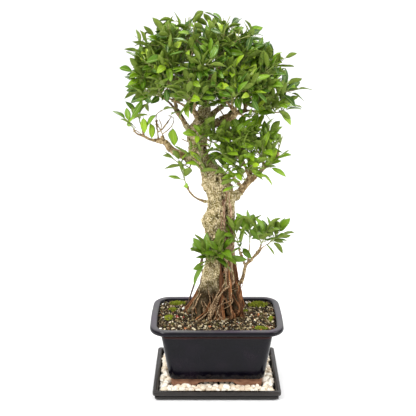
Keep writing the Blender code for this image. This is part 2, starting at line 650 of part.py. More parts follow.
# Shoots that grow from the front of the trunk: x, height above the soil and direction.
FRONT_SHOOTS = [(-0.006, 0.114, (-0.45, -0.45, 0.9)), (0.006, 0.124, (0.20, -0.55, 0.9))]


def crown_point(azimuth, elevation, reach):
    """A point of the crown's dome, or a share of the way out to it."""
    flat = math.cos(math.radians(elevation)) * reach
    return (CROWN_CENTRE[0] + CROWN_LENGTH * flat * math.cos(math.radians(azimuth)),
            CROWN_CENTRE[1] + CROWN_DEPTH * flat * math.sin(math.radians(azimuth)),
            CROWN_CENTRE[2] + CROWN_HEIGHT * math.sin(math.radians(elevation)) * reach)


def crown_twig(stations, azimuth, elevation):
    """Stations of a twig that leaves a limb near its end and bows up and out to the crown."""
    low, high = stations[-2:]
    start = [a + 0.8 * (b - a) for a, b in zip(low, high)][:3]
    tip = crown_point(azimuth, elevation, TWIG_REACH)
    middle = [(a + b) / 2 for a, b in zip(start, tip)]
    bow = crown_point(azimuth, elevation, 0.45)
    middle = [0.75 * a + 0.25 * b for a, b in zip(middle, bow)]
    return [(*start, TWIG_RADIUS), (*middle, 0.5 * (TWIG_RADIUS + TWIG_TIP_RADIUS)), (*tip, TWIG_TIP_RADIUS)]


solids = {}                   # surface tree of each piece of the tree made so far
stem_tips = {}                # the last two stations of every twig that can carry a shoot


def surface_tree(mesh_object):
    """A search tree of an object's faces."""
    points = [vertex.co.copy() for vertex in mesh_object.data.vertices]
    faces = [list(polygon.vertices) for polygon in mesh_object.data.polygons]
    return BVHTree.FromPolygons(points, faces)


def clear_of_tree(mesh_object, own_name):
    """True when a piece touches none of the other pieces of the tree."""
    tree = surface_tree(mesh_object)
    return not any(tree.overlap(other) for name, other in solids.items() if name != own_name)


def make_wood():
    """The trunk with everything fused to it, and each limb with its own twigs."""
    trunk = loft("trunk", [trunk_ring(station) for station in TRUNK_STATIONS])
    stock = cylinder("root_stock", 0.6 * STOCK_RADIUS, STOCK_RADIUS, SOIL_TOP - STOCK_DEPTH, SOIL_TOP + 0.001,
                     y=TREE_SET_BACK)
    fused = [stock]
    fused += [tube("strand", smooth_route(stations, 3), 1) for stations in STRANDS]
    fused += [surface_root(index) for index in range(SURFACE_ROOT_COUNT)]
    for name, (stations, collar) in LIMBS.items():
        route = smooth_route(stations, 3)
        near, far = cut_route(route, collar)
        fused.append(tube("collar", near, 2))
        limb = tube(name, far, 2)
        twigs = [(owner, twig) for owner, twig in TWIGS if owner == name]
        twigs += [(name, crown_twig(stations, *aim)) for aim in CROWN_FANS.get(name, [])]
        tips = []
        pieces = []
        for _, twig in twigs:
            twig_route = smooth_route(twig, 3)
            pieces.append(tube("twig", twig_route, 1))
            tips.append(twig_route[-2:])
        if pieces:
            limb = combine(limb, pieces, "UNION")
        tips.append(far[-2:])
        stem_tips[name] = tips
        solids[name] = surface_tree(keep(limb, fig_bark))
    trunk_object = keep(combine(trunk, fused, "UNION"), fig_bark)
    solids["trunk"] = surface_tree(trunk_object)
    root = tube("aerial_root", smooth_route(AERIAL_ROOT, 3), 1)
    solids["aerial_root"] = surface_tree(keep(root, root_bark))


# ---------------------------------------------------------------- leafy shoots
def leaf_shape(length, width, fold, droop):
    """A four-sided leaf: a short stalk, a folded blade widest past its middle, and a point."""
    bm = bmesh.new()
    bmesh.ops.create_uvsphere(bm, u_segments=4, v_segments=4, radius=1.0)
    for vertex in bm.verts:
        polar = math.degrees(math.acos(max(-1.0, min(1.0, vertex.co.z))))
        ring = round((180 - polar) / 45)
        along = (0.0, 0.20, 0.56, 0.84, 1.0)[ring]
        half_width = (0.0, STALK_RADIUS / width, 0.5, 0.30, 0.0)[ring] * width
        half_height = (0.0, 0.8, 0.5, 0.4, 0.0)[ring] * LEAF_THICKNESS
        spread = math.hypot(vertex.co.x, vertex.co.y)
        side = vertex.co.x / spread if spread > 0.01 else 0.0
        face = vertex.co.y / spread if spread > 0.01 else 0.0
        lift = abs(side) * half_width * fold
        sag = droop * length * along ** 2
        vertex.co = Vector((along * length, side * half_width, face * half_height + lift - sag))
    bmesh.ops.recalc_face_normals(bm, faces=bm.faces)
    return bm


def turned(direction, roll):
    """A rotation that lays local X along a direction, with local Z as upright as roll allows."""
    across = Vector((0, 0, 1)).cross(direction)
    if across.length < 0.05:
        across = Vector((0, 1, 0))
    across.normalize()
    upward = direction.cross(across)
    frame = Matrix((direction, across, upward)).transposed()
    return frame @ Matrix.Rotation(roll, 3, "X")


def make_stem(name, start, direction, length, dice):
    """The thin stem of a shoot, which leans and bends until it is clear of the rest."""
    direction = direction.normalized()
    base = start + direction * TOUCH_GAP
    for _ in range(40):
        lean = Vector((dice.uniform(-1, 1), dice.uniform(-1, 1), dice.uniform(0.0, 1.2))) * 0.25
        bend = (direction + lean).normalized()
        points = [base, base + direction * 0.25 * length, base + (direction + bend) * 0.33 * length,
                  base + (0.45 * direction + 0.55 * bend) * length]
        route = [Vector((*point, SHOOT_RADIUS * (1 - 0.12 * i))) for i, point in enumerate(points)]
        stem = tube(name, route, 0)
        if clear_of_tree(stem, name):
            solids[name] = surface_tree(stem)
            return stem, points
        bpy.data.objects.remove(stem, do_unlink=True)
    raise ValueError(name + " finds no free place")


def add_leaves(name, stem, points, count, dice):
    """Sets leaves round a stem in a spiral, each turned until it is clear of the rest."""
    axis = (points[3] - points[0]).normalized()
    side_a = axis.orthogonal().normalized()
    side_b = axis.cross(side_a)
    spans = (0.0, 0.25, 0.66, 1.0)
    leaves = []
    for i in range(count):
        share = 0.30 + 0.66 * i / (count - 1)
        segment = 1 if share < spans[2] else 2
        within = (share - spans[segment]) / (spans[segment + 1] - spans[segment])
        place = points[segment].lerp(points[segment + 1], within)
        for attempt in range(16):
            around = math.radians(137.5 * i) + dice.uniform(-0.25, 0.25) * (1 + attempt)
            opening = math.radians(78 - 50 * i / count) + dice.uniform(-0.15, 0.15)
            outward = side_a * math.cos(around) + side_b * math.sin(around)
            aim = axis * math.cos(opening) + outward * math.sin(opening) + Vector((0, 0, 0.18))
            aim.normalize()
            bm = leaf_shape(LEAF_LENGTH * dice.uniform(0.85, 1.15), LEAF_WIDTH * dice.uniform(0.9, 1.1),
                            dice.uniform(0.15, 0.5), dice.uniform(0.0, 0.25))
            bmesh.ops.rotate(bm, cent=(0, 0, 0), matrix=turned(aim, dice.uniform(-0.5, 0.5)), verts=bm.verts)
            bmesh.ops.translate(bm, vec=place, verts=bm.verts)
            leaf = object_from(bm, "leaf")
            if clear_of_tree(leaf, name):
                leaves.append(leaf)
                break
            bpy.data.objects.remove(leaf, do_unlink=True)
    solids[name] = surface_tree(keep(combine(stem, leaves, "UNION"), leaf_green))


def plan_shoots():
    """Name, start, direction, leaf count and length of every leafy shoot."""
    plans = []

    def on_tip(name, tip, count, length):
        before, end = (station.xyz for station in tip)
        direction = (end - before).normalized()
        plans.append((name, end, direction, count, length))

    number = 1
    for limb in CROWN_FANS:
        for tip in stem_tips[limb][:-1]:
            on_tip("shoot_crown_%02d" % number, tip, 6, SHOOT_LENGTH)
            number += 1
    for i in range(5):
        on_tip("shoot_lower_right_%d" % (i + 1), stem_tips["limb_lower_right"][i], 6, SHOOT_LENGTH)
    for i in range(2):
        on_tip("shoot_left_%d" % (i + 1), stem_tips["limb_left"][i], 4, 0.6 * SHOOT_LENGTH)
    on_tip("shoot_lower_left", stem_tips["twig_lower_left"][-1], 6, 0.8 * SHOOT_LENGTH)
    for i in range(4):
        tip = stem_tips["stem_low_right"][i]
        on_tip("shoot_low_right_%d" % (i + 1), tip, 6, 0.8 * SHOOT_LENGTH)
    for i, (x, height, aim) in enumerate(FRONT_SHOOTS):
        start = tree_point(x, -0.200, height)
        hit = solids["trunk"].ray_cast(start, Vector((0, 1, 0)))[0]
        plans.append(("shoot_low_centre_%d" % (i + 1), hit - Vector((0, 0.0015, 0)), Vector(aim), 6,
                      0.9 * SHOOT_LENGTH))
    return plans


def make_foliage():
    """Every leafy shoot: all the stems first, then the leaves of each."""
    dice = random.Random(7)
    stems = []
    for name, start, direction, count, length in plan_shoots():
        stem, points = make_stem(name, start, direction, length, dice)
        stems.append((name, stem, points, count))
    for name, stem, points, count in stems:
        add_leaves(name, stem, points, count, dice)


# ---------------------------------------------------------------- the whole object
make_tray()
make_pebbles()
make_pot()
make_screen("drain_screen_left", -DRAIN_SPACING / 2)
make_screen("drain_screen_right", DRAIN_SPACING / 2)
make_soil()
MOSS_PATCHES = [
    ("moss_back_left", -1, 0.0335, 1, 0.015, 0.034, 0.018, 0.007, 0.05),
    ("moss_left", -1, 0.0255, 1, 0.047, 0.020, 0.016, 0.005, 0.4),
    ("moss_front_left", -1, 0.0185, -1, 0.065, 0.020, 0.024, 0.005, 0.2),
    ("moss_back_right", 1, 0.0275, 1, 0.022, 0.042, 0.028, 0.009, -0.1),
    ("moss_front_right", 1, 0.0295, -1, 0.016, 0.030, 0.014, 0.005, 0.05),
    ("moss_right", 1, 0.0065, -1, 0.059, 0.010, 0.026, 0.005, 0.0),
]
for patch in MOSS_PATCHES:
    make_moss(*patch)
make_wood()
make_foliage()
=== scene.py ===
import math
import random

import bmesh
import bpy
import numpy as np
from mathutils import Matrix, Vector, noise
from mathutils.bvhtree import BVHTree


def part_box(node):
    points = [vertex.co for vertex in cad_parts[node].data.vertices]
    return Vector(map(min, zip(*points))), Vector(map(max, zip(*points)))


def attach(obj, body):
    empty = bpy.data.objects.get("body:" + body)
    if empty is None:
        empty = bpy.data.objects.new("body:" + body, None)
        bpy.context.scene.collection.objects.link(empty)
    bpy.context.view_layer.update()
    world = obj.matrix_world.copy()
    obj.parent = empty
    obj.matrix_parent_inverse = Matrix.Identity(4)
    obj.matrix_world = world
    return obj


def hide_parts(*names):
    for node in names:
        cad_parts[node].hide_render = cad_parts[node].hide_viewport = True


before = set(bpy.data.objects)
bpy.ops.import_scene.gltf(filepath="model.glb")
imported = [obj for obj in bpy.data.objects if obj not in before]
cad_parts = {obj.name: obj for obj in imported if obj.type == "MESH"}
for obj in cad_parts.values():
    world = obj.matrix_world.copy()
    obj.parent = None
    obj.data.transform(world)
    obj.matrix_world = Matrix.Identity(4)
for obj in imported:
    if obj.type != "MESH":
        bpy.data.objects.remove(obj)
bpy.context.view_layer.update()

scene = bpy.context.scene

# ---- Camera, floor and light ----------------------------------------------------------------
# The tree stands on a plain white sweep. The camera looks slightly down on the pot from the
# front, and large soft lamps to the left, right and behind light it evenly.
scene.view_settings.view_transform = "Standard"

front_lens = bpy.data.cameras.new("front_view")
front_lens.sensor_width = 36.0
front_lens.lens = 72.25
front_view = bpy.data.objects.new("front_view", front_lens)
front_view.location = (-0.0168, -1.5087, 0.8027)
front_view.rotation_euler = (math.radians(73.45), 0.0, 0.0)
scene.collection.objects.link(front_view)
scene.camera = front_view

world = bpy.data.worlds.new("white_room")
scene.world = world
world.use_nodes = True
world.node_tree.nodes["Background"].inputs["Color"].default_value = (1.0, 1.0, 1.0, 1.0)
room_way = world.node_tree.nodes.new("ShaderNodeTexCoord")
room_axes = world.node_tree.nodes.new("ShaderNodeSeparateXYZ")
room_glow = world.node_tree.nodes.new("ShaderNodeMapRange")
room_glow.inputs["From Min"].default_value = -0.6
room_glow.inputs["From Max"].default_value = 0.3
room_glow.inputs["To Min"].default_value = 0.80
room_glow.inputs["To Max"].default_value = 1.30
world.node_tree.links.new(room_way.outputs["Generated"], room_axes.inputs["Vector"])
world.node_tree.links.new(room_axes.outputs["Y"], room_glow.inputs["Value"])
world.node_tree.links.new(room_glow.outputs["Result"], world.node_tree.nodes["Background"].inputs["Strength"])


def softbox(name, place, aim, side, power):
    """A square soft lamp that faces a point."""
    lamp = bpy.data.lights.new(name, "AREA")
    lamp.shape = "SQUARE"
    lamp.size = side
    lamp.energy = power
    holder = bpy.data.objects.new(name, lamp)
    holder.location = place
    holder.rotation_euler = (Vector(aim) - Vector(place)).to_track_quat("-Z", "Y").to_euler()
    scene.collection.objects.link(holder)


softbox("key_left", (-1.2, -1.2, 2.0), (0.0, 0.0, 0.40), 0.7, 44.0)
softbox("fill_right", (1.5, -0.6, 1.1), (0.0, 0.0, 0.35), 1.0, 15.0)
softbox("hair_light", (0.3, 1.3, 1.9), (0.0, 0.0, 0.50), 1.0, 20.0)


def tint(red, green, blue):
    """A colour given from 0 to 255, as the linear values that a shader takes."""
    parts = [c / 255 for c in (red, green, blue)]
    return (*[c / 12.92 if c < 0.04 else ((c + 0.055) / 1.055) ** 2.4 for c in parts], 1.0)


def finish_of(name, roughness, specular=0.5):
    """A new material with its Principled shader."""
    material = bpy.data.materials.new(name)
    material.use_nodes = True
    shader = material.node_tree.nodes["Principled BSDF"]
    shader.inputs["Roughness"].default_value = roughness
    shader.inputs["Specular IOR Level"].default_value = specular
    return material, shader


def place_on(material, stretch=(1.0, 1.0, 1.0)):
    """Where a point lies on the piece, in metres, squeezed or stretched along an axis."""
    source = material.node_tree.nodes.new("ShaderNodeTexCoord")
    mapping = material.node_tree.nodes.new("ShaderNodeMapping")
    mapping.inputs["Scale"].default_value = stretch
    material.node_tree.links.new(source.outputs["Object"], mapping.inputs["Vector"])
    return mapping.outputs["Vector"]


def cloudy(material, place, scale, detail=4.0, rough=0.55):
    """Soft noise from 0 to 1 with about scale lumps to the metre."""
    texture = material.node_tree.nodes.new("ShaderNodeTexNoise")
    texture.inputs["Scale"].default_value = scale
    texture.inputs["Detail"].default_value = detail
    texture.inputs["Roughness"].default_value = rough
    material.node_tree.links.new(place, texture.inputs["Vector"])
    return texture.outputs["Fac"]


def graded(material, factor, stops, steps=False):
    """Colours picked by a value from 0 to 1. With steps, they change at once at each stop."""
    ramp = material.node_tree.nodes.new("ShaderNodeValToRGB")
    ramp.color_ramp.interpolation = "CONSTANT" if steps else "LINEAR"
    while len(ramp.color_ramp.elements) < len(stops):
        ramp.color_ramp.elements.new(1.0)
    for element, (position, colour) in zip(ramp.color_ramp.elements, stops):
        element.position = position
        element.color = colour
    material.node_tree.links.new(factor, ramp.inputs["Fac"])
    return ramp.outputs["Color"]


def fed(material, socket, value):
    """Gives a socket a value, or links it to another node's output."""
    if isinstance(value, bpy.types.NodeSocket):
        material.node_tree.links.new(value, socket)
    else:
        socket.default_value = value


def mixed(material, factor, first, second, how="MIX"):
    """Two colours mixed. A colour is a value or another node's output."""
    mix = material.node_tree.nodes.new("ShaderNodeMix")
    mix.data_type = "RGBA"
    mix.blend_type = how
    for socket, value in ((mix.inputs[0], factor), (mix.inputs[6], first), (mix.inputs[7], second)):
        fed(material, socket, value)
    return mix.outputs[2]


def spread(material, value, low, high, to_low=0.0, to_high=1.0):
    """A value's range from low to high stretched to another one, and held at its ends."""
    node = material.node_tree.nodes.new("ShaderNodeMapRange")
    for socket, number in zip(("From Min", "From Max", "To Min", "To Max"), (low, high, to_low, to_high)):
        node.inputs[socket].default_value = number
    material.node_tree.links.new(value, node.inputs["Value"])
    return node.outputs["Result"]


def embossed(material, shader, height, depth, strength=1.0):
    """Fine relief, depth metres from the lowest to the highest."""
    bump = material.node_tree.nodes.new("ShaderNodeBump")
    bump.inputs["Strength"].default_value = strength
    bump.inputs["Distance"].default_value = depth
    material.node_tree.links.new(height, bump.inputs["Height"])
    material.node_tree.links.new(bump.outputs["Normal"], shader.inputs["Normal"])


def coloured(material, shader, colour, roughness=None):
    """Feeds the shader its colour, and a roughness that varies."""
    material.node_tree.links.new(colour, shader.inputs["Base Color"])
    if roughness is not None:
        material.node_tree.links.new(roughness, shader.inputs["Roughness"])


paper, paper_shader = finish_of("white_paper", 0.9)
paper_grain = cloudy(paper, place_on(paper), 30.0)
paper_tone = graded(paper, paper_grain, [(0.3, (0.86, 0.86, 0.86, 1)), (0.7, (0.88, 0.88, 0.88, 1))])
coloured(paper, paper_shader, paper_tone)

SWEEP_FRONT = -4.0
SWEEP_BACK = 1.6
SWEEP_BEND = 1.0
SWEEP_STEPS = 12
SWEEP_TOP = 4.0
SWEEP_HALF_WIDTH = 5.0
sweep_line = [(SWEEP_FRONT, 0.0)]
for step in range(SWEEP_STEPS + 1):
    turn = math.radians(90 * step / SWEEP_STEPS)
    sweep_line.append((SWEEP_BACK + SWEEP_BEND * math.sin(turn), SWEEP_BEND * (1 - math.cos(turn))))
sweep_line.append((SWEEP_BACK + SWEEP_BEND, SWEEP_TOP))
sweep = bmesh.new()
sweep_rows = [[sweep.verts.new((side * SWEEP_HALF_WIDTH, y, z)) for side in (-1, 1)] for y, z in sweep_line]
for low_row, high_row in zip(sweep_rows, sweep_rows[1:]):
    sweep.faces.new((low_row[0], low_row[1], high_row[1], high_row[0]))
sweep_mesh = bpy.data.meshes.new("floor_sweep")
sweep.to_mesh(sweep_mesh)
sweep.free()
sweep_mesh.shade_smooth()
sweep_mesh.materials.append(paper)
floor_sweep = bpy.data.objects.new("floor_sweep", sweep_mesh)
scene.collection.objects.link(floor_sweep)

# ---- Drip tray ------------------------------------------------------------------------------
# A shallow pressed tray in dark brown glazed clay: an inset foot, a narrow lower band, a proud
# upper band and a flat lip. It is lofted through rounded outlines, one for each turn of its wall.
TRAY_LIP = 0.008
TRAY_STEP = 0.004
TRAY_STEP_HEIGHT = 0.011
TRAY_GROOVE = 0.0024
TRAY_FLOOR = 0.005
TRAY_FOOT_INSET = 0.008
TRAY_CORNER = 0.007


def piece(name, mesh, materials, replaced=(), crease=35):
    """Puts a finished mesh in the scene as a piece that rides on the root body."""
    mesh.name = name
    made = bpy.data.objects.new(name, mesh)
    scene.collection.objects.link(made)
    if not mesh.materials:
        for material in materials:
            mesh.materials.append(material)
    mesh.shade_smooth()
    mesh.set_sharp_from_angle(angle=math.radians(crease))
    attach(made, "root")
    if replaced:
        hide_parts(*replaced)
    return made


def outline(length, depth, corner, height, bulge=0.0, corner_points=9, side_points=14):
    """One level ring with rounded corners, whose short sides may bow outwards."""
    half_x = length / 2
    half_y = depth / 2
    ring = []
    for quadrant in range(4):
        side_x = 1 if quadrant in (0, 3) else -1
        side_y = 1 if quadrant in (0, 1) else -1
        for step in range(corner_points + 1):
            angle = math.radians(90 * (quadrant + step / corner_points))
            ring.append(Vector((side_x * (half_x - corner) + corner * math.cos(angle),
                                side_y * (half_y - corner) + corner * math.sin(angle), height)))
        start = ring[-1]
        next_x = -side_x if quadrant in (0, 2) else side_x
        next_y = side_y if quadrant in (0, 2) else -side_y
        end = Vector((next_x * (half_x - corner if quadrant in (0, 2) else half_x),
                      next_y * (half_y if quadrant in (0, 2) else half_y - corner), height))
        ring += [start.lerp(end, step / (side_points + 1)) for step in range(1, side_points + 1)]
    for point in ring:
        point.x += math.copysign(bulge * (1 - (point.y / half_y) ** 2), point.x)
    return ring


def lofted(rings):
    """A closed mesh through rings that all have as many points."""
    shell = bmesh.new()
    levels = [[shell.verts.new(point) for point in ring] for ring in rings]
    count = len(rings[0])
    for lower, upper in zip(levels, levels[1:]):
        for i in range(count):
            shell.faces.new((lower[i], lower[(i + 1) % count], upper[(i + 1) % count], upper[i]))
    for level in (levels[0], levels[-1]):
        shell.faces.new(level)
    bmesh.ops.recalc_face_normals(shell, faces=shell.faces)
    mesh = bpy.data.meshes.new("loft")
    shell.to_mesh(mesh)
    shell.free()
    return mesh


def axes_of(material, vector):
    """A vector's X, Y and Z, each as an output of its own."""
    split = material.node_tree.nodes.new("ShaderNodeSeparateXYZ")
    material.node_tree.links.new(vector, split.inputs["Vector"])
    return split.outputs


def overlaid(material, base, colour, value, low, high, most=1.0):
    """A colour laid over a base: none where a value is low, and most where it is high."""
    return mixed(material, spread(material, value, low, high, 0.0, most), base, colour)


def band(material, value, rise, fall):
    """1 inside a band of a value and 0 outside it, with an edge that fades over each pair of numbers."""
    rising = spread(material, value, *rise)
    falling = spread(material, value, *fall, 1.0, 0.0)
    return mixed(material, 1.0, rising, falling, "MULTIPLY")


tray_glaze, tray_shader = finish_of("brown_tray_glaze", 0.35, 0.4)
tray_height = axes_of(tray_glaze, place_on(tray_glaze))["Z"]
tray_cloud = cloudy(tray_glaze, place_on(tray_glaze, (1, 1, 2.5)), 60.0)
tray_speck = cloudy(tray_glaze, place_on(tray_glaze), 700.0, 2.0)
tray_base = graded(tray_glaze, tray_cloud, [(0.30, tint(21, 18, 17)), (0.75, tint(40, 34, 31))])
tray_dusty = overlaid(tray_glaze, tray_base, tint(112, 100, 90), tray_speck, 0.62, 0.72, 0.3)
# Painted shade: the glaze below the upper band's step is darkened, as shade under the overhang, and a
# near-black line in the groove under the step is a painted shadow.
tray_shaded_below_step = overlaid(tray_glaze, tray_dusty, tint(22, 18, 17), tray_height,
                       TRAY_STEP_HEIGHT + 0.0008, TRAY_STEP_HEIGHT, 0.5)
groove_shadow_band = band(tray_glaze, tray_height, (TRAY_STEP_HEIGHT - 0.0034, TRAY_STEP_HEIGHT - 0.0026),
                   (TRAY_STEP_HEIGHT, TRAY_STEP_HEIGHT + 0.0008))
tray_groove_shadowed = mixed(tray_glaze, groove_shadow_band, tray_shaded_below_step, tint(5, 4, 4))
coloured(tray_glaze, tray_shader, tray_groove_shadowed, spread(tray_glaze, tray_cloud, 0.3, 0.7, 0.28, 0.48))
embossed(tray_glaze, tray_shader, tray_speck, 0.0002, 0.4)

tray_low, tray_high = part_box("drip_tray")
tray_length = tray_high.x - tray_low.x
tray_depth = tray_high.y - tray_low.y
tray_top = tray_high.z
# How far each turn of the wall lies in from the tray's edge, and how high, from the foot up over
# the lip and down to the floor inside.
tray_wall = [
    (TRAY_FOOT_INSET + 0.0010, 0.0), (TRAY_FOOT_INSET, 0.0008), (TRAY_FOOT_INSET, 0.0024),
    (TRAY_STEP + 0.0012, 0.0028), (TRAY_STEP, 0.0040), (TRAY_STEP, TRAY_STEP_HEIGHT - 0.0030),
    (TRAY_STEP + TRAY_GROOVE, TRAY_STEP_HEIGHT - 0.0022),
    (TRAY_STEP + TRAY_GROOVE, TRAY_STEP_HEIGHT - 0.0002),
    (0.0012, TRAY_STEP_HEIGHT + 0.0002), (0.0003, TRAY_STEP_HEIGHT + 0.0012),
    (0.0, TRAY_STEP_HEIGHT + 0.0024), (0.0, tray_top - 0.0026), (0.0003, tray_top - 0.0012),
    (0.0012, tray_top - 0.0003), (0.0026, tray_top),
    (TRAY_LIP - 0.0012, tray_top - 0.0001), (TRAY_LIP, tray_top - 0.0009),
    (TRAY_LIP + 0.0006, tray_top - 0.0024), (TRAY_LIP + 0.0018, TRAY_FLOOR + 0.0022),
    (TRAY_LIP + 0.0028, TRAY_FLOOR + 0.0007), (TRAY_LIP + 0.0046, TRAY_FLOOR),
]
piece("drip_tray_glazed", lofted([
    outline(tray_length - 2 * inset, tray_depth - 2 * inset, max(TRAY_CORNER - inset, 0.0015), height)
    for inset, height in tray_wall
]), [tray_glaze], ["drip_tray"])

# ---- Pebbles in the tray --------------------------------------------------------------------
# Cream and ivory river pebbles, washed round. They lie loose, one over another, up to just
# under the tray's lip, and the pot's feet have settled into the lowest ones.
PEBBLE_RADII = (0.0046, 0.0078)
PEBBLE_LAYERS = (0.0086, 0.0122, 0.0148)
BED_RADII = (0.0048, 0.0066)
PASSAGE_RADII = (0.0040, 0.0056)
PASSAGE_WIDTH = 0.072
FOOT_LENGTH = 0.176
FOOT_DEPTH = 0.116

dice = random.Random(11)


def lump(roundness, seed, fineness):
    """The corners and faces of a rounded stone about the origin, about 1 in radius."""
    ball = bmesh.new()
    bmesh.ops.create_icosphere(ball, subdivisions=fineness, radius=1.0)
    offset = Vector((seed * 7.31, seed * 3.17, seed * 5.73))
    corners = []
    for vertex in ball.verts:
        swell = 1 + (1 - roundness) * noise.noise(vertex.co * 1.3 + offset)
        swell += 0.35 * (1 - roundness) * noise.noise(vertex.co * 3.1 - offset)
        corners.append(vertex.co * swell)
    faces = [[vertex.index for vertex in face.verts] for face in ball.faces]
    ball.free()
    return corners, faces


def heap(stones, fineness, roundness, flatness):
    """One mesh of many stones, each given as its middle, radius and how flat it lies."""
    shapes = [lump(roundness, seed, fineness) for seed in range(24)]
    points = []
    faces = []
    for middle, radius in stones:
        corners, sides = shapes[dice.randrange(len(shapes))]
        turn = Matrix.Rotation(dice.uniform(0, 2 * math.pi), 3, "Z")
        nod = Matrix.Rotation(dice.uniform(-0.5, 0.5), 3, "X")
        lean = Matrix.Rotation(dice.uniform(-0.5, 0.5), 3, "Y")
        stretch = Matrix.Diagonal((dice.uniform(1.0, 1.3), dice.uniform(0.8, 1.0), dice.uniform(*flatness)))
        pose = turn @ (nod @ lean) @ stretch @ Matrix.Rotation(dice.uniform(0, 2 * math.pi), 3, "Z")
        first = len(points)
        points += [middle + pose @ (corner * radius) for corner in corners]
        faces += [[first + index for index in side] for side in sides]
    mesh = bpy.data.meshes.new("heap")
    mesh.from_pydata(points, [], faces)
    mesh.update()
    return mesh


def strewn(half_x, half_y, allowed, radii, closeness, tries):
    """Places strewn at random over a rectangle, no closer than their sizes allow."""
    cell = 2 * radii[1]
    grid = {}
    found = []
    for _ in range(tries):
        x = dice.uniform(-half_x, half_x)
        y = dice.uniform(-half_y, half_y)
        radius = dice.uniform(*radii)
        if not allowed(x, y, radius):
            continue
        key = (round(x / cell), round(y / cell))
        near = []
        for i in (-1, 0, 1):
            for j in (-1, 0, 1):
                near += grid.get((key[0] + i, key[1] + j), [])
        if all(math.hypot(x - a, y - b) > closeness * (radius + c) for a, b, c in near):
            grid.setdefault(key, []).append((x, y, radius))
            found.append((x, y, radius))
    return found


bed_x = tray_length / 2 - TRAY_LIP - 0.002
bed_y = tray_depth / 2 - TRAY_LIP - 0.002


def in_tray(x, y, radius):
    """True where a pebble lies clear of the tray's wall."""
    return abs(x) < bed_x - radius and abs(y) < bed_y - radius


def beside_feet(x, y, radius):
    """True in the tray, but clear of the pot's feet."""
    outside = abs(x) > FOOT_LENGTH / 2 + 0.8 * radius or abs(y) > FOOT_DEPTH / 2 + 0.8 * radius
    return outside and in_tray(x, y, radius)


def between_feet(x, y, radius):
    """True in the openings between the feet, at the pot's front and back."""
    return abs(x) < PASSAGE_WIDTH / 2 - radius and FOOT_DEPTH / 2 - 0.014 < abs(y) < FOOT_DEPTH / 2 + 0.004


pebbles = []
for x, y, radius in strewn(bed_x, bed_y, in_tray, BED_RADII, 0.80, 5000):
    pebbles.append((Vector((x, y, TRAY_FLOOR + 0.0021)), radius * 0.62))
for height in PEBBLE_LAYERS:
    for x, y, radius in strewn(bed_x, bed_y, beside_feet, PEBBLE_RADII, 0.72, 6000):
        lift = dice.uniform(-0.0008, 0.0006)
        highest = tray_top - 0.0002 - 0.72 * radius
        pebbles.append((Vector((x, y, min(height + lift, highest))), radius))
for x, y, radius in strewn(0.04, 0.07, between_feet, PASSAGE_RADII, 0.74, 2000):
    pebbles.append((Vector((x, y, 0.0112)), radius))


def island_pick(material):
    """A number from 0 to 1 that each separate stone, grain or leaf of a mesh has for itself."""
    return material.node_tree.nodes.new("ShaderNodeNewGeometry").outputs["Random Per Island"]


pebble_stone, pebble_shader = finish_of("river_pebble", 0.55, 0.35)
pebble_tone = graded(pebble_stone, island_pick(pebble_stone), [
    (0.0, tint(244, 238, 222)), (0.30, tint(252, 248, 238)), (0.55, tint(238, 226, 204)),
    (0.72, tint(222, 204, 178)), (0.84, tint(250, 245, 234)), (0.93, tint(198, 182, 160)),
    (1.0, tint(240, 224, 202)),
])
pebble_vein = cloudy(pebble_stone, place_on(pebble_stone), 260.0, 6.0)
pebble_worn = overlaid(pebble_stone, pebble_tone, tint(196, 172, 140), pebble_vein, 0.45, 0.75, 0.55)
coloured(pebble_stone, pebble_shader, pebble_worn, spread(pebble_stone, pebble_vein, 0.3, 0.7, 0.4, 0.7))
embossed(pebble_stone, pebble_shader, pebble_vein, 0.0004, 0.5)
piece("tray_pebbles_loose", heap(pebbles, 2, 0.72, (0.60, 0.85)), [pebble_stone],
      ["tray_pebbles"], 180)

# ---- Pot ------------------------------------------------------------------------------------
# A moulded rectangular bonsai pot in blue-black gloss glaze, with a broad flat lip and a rolled
# edge. The glaze runs thin and brown under the lip. The feet are bare red clay, with an arch in
# each side, and the floor has two round drain holes.
RIM_BULGE = 0.003
RIM_WIDTH = 0.014
RIM_HEIGHT = 0.012
RIM_CORNER = 0.033
NECK_HEIGHT = 0.006
BODY_LENGTH = (0.184, 0.212)
BODY_DEPTH = (0.124, 0.146)
BODY_CORNER = 0.014
POT_WALL = 0.009
FOOT_HEIGHT = 0.018
FOOT_WIDTH = 0.013
ARCH_HEIGHT = 0.0125
ARCH_LENGTHS = (0.092, 0.050)
ARCH_SLOPE = 0.012
ARCH_TURN = 0.003
CUT_BELOW = 0.010
CUT_REACH = 0.3
FLOOR_THICKNESS = 0.008
BASE_TURN = 0.003
DRAIN_RADIUS = 0.011
DRAIN_SPACING = 0.084
DRAIN_CUT = 0.02

pot_low, pot_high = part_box("pot")
pot_bottom = pot_low.z
rim_top = pot_high.z
rim_length = pot_high.x - pot_low.x
rim_depth = pot_high.y - pot_low.y
rim_bottom = rim_top - RIM_HEIGHT
body_top = rim_bottom - NECK_HEIGHT
body_bottom = pot_bottom + FOOT_HEIGHT
floor_bottom = pot_bottom + ARCH_HEIGHT
floor_top = floor_bottom + FLOOR_THICKNESS


def rim_ring(inset, height):
    """A ring of the rim, a distance in from its widest line."""
    return outline(rim_length - 2 * RIM_BULGE - 2 * inset, rim_depth - 2 * inset,
                   max(RIM_CORNER - inset, 0.010), height, RIM_BULGE)


def body_ring(height, inset=0.0):
    """A ring of the tapered body, a distance in from its outside."""
    share = (height - body_bottom) / (body_top - body_bottom)
    length = BODY_LENGTH[0] + share * (BODY_LENGTH[1] - BODY_LENGTH[0]) - 2 * inset
    depth = BODY_DEPTH[0] + share * (BODY_DEPTH[1] - BODY_DEPTH[0]) - 2 * inset
    return outline(length, depth, max(BODY_CORNER - 0.3 * inset, 0.006), height)


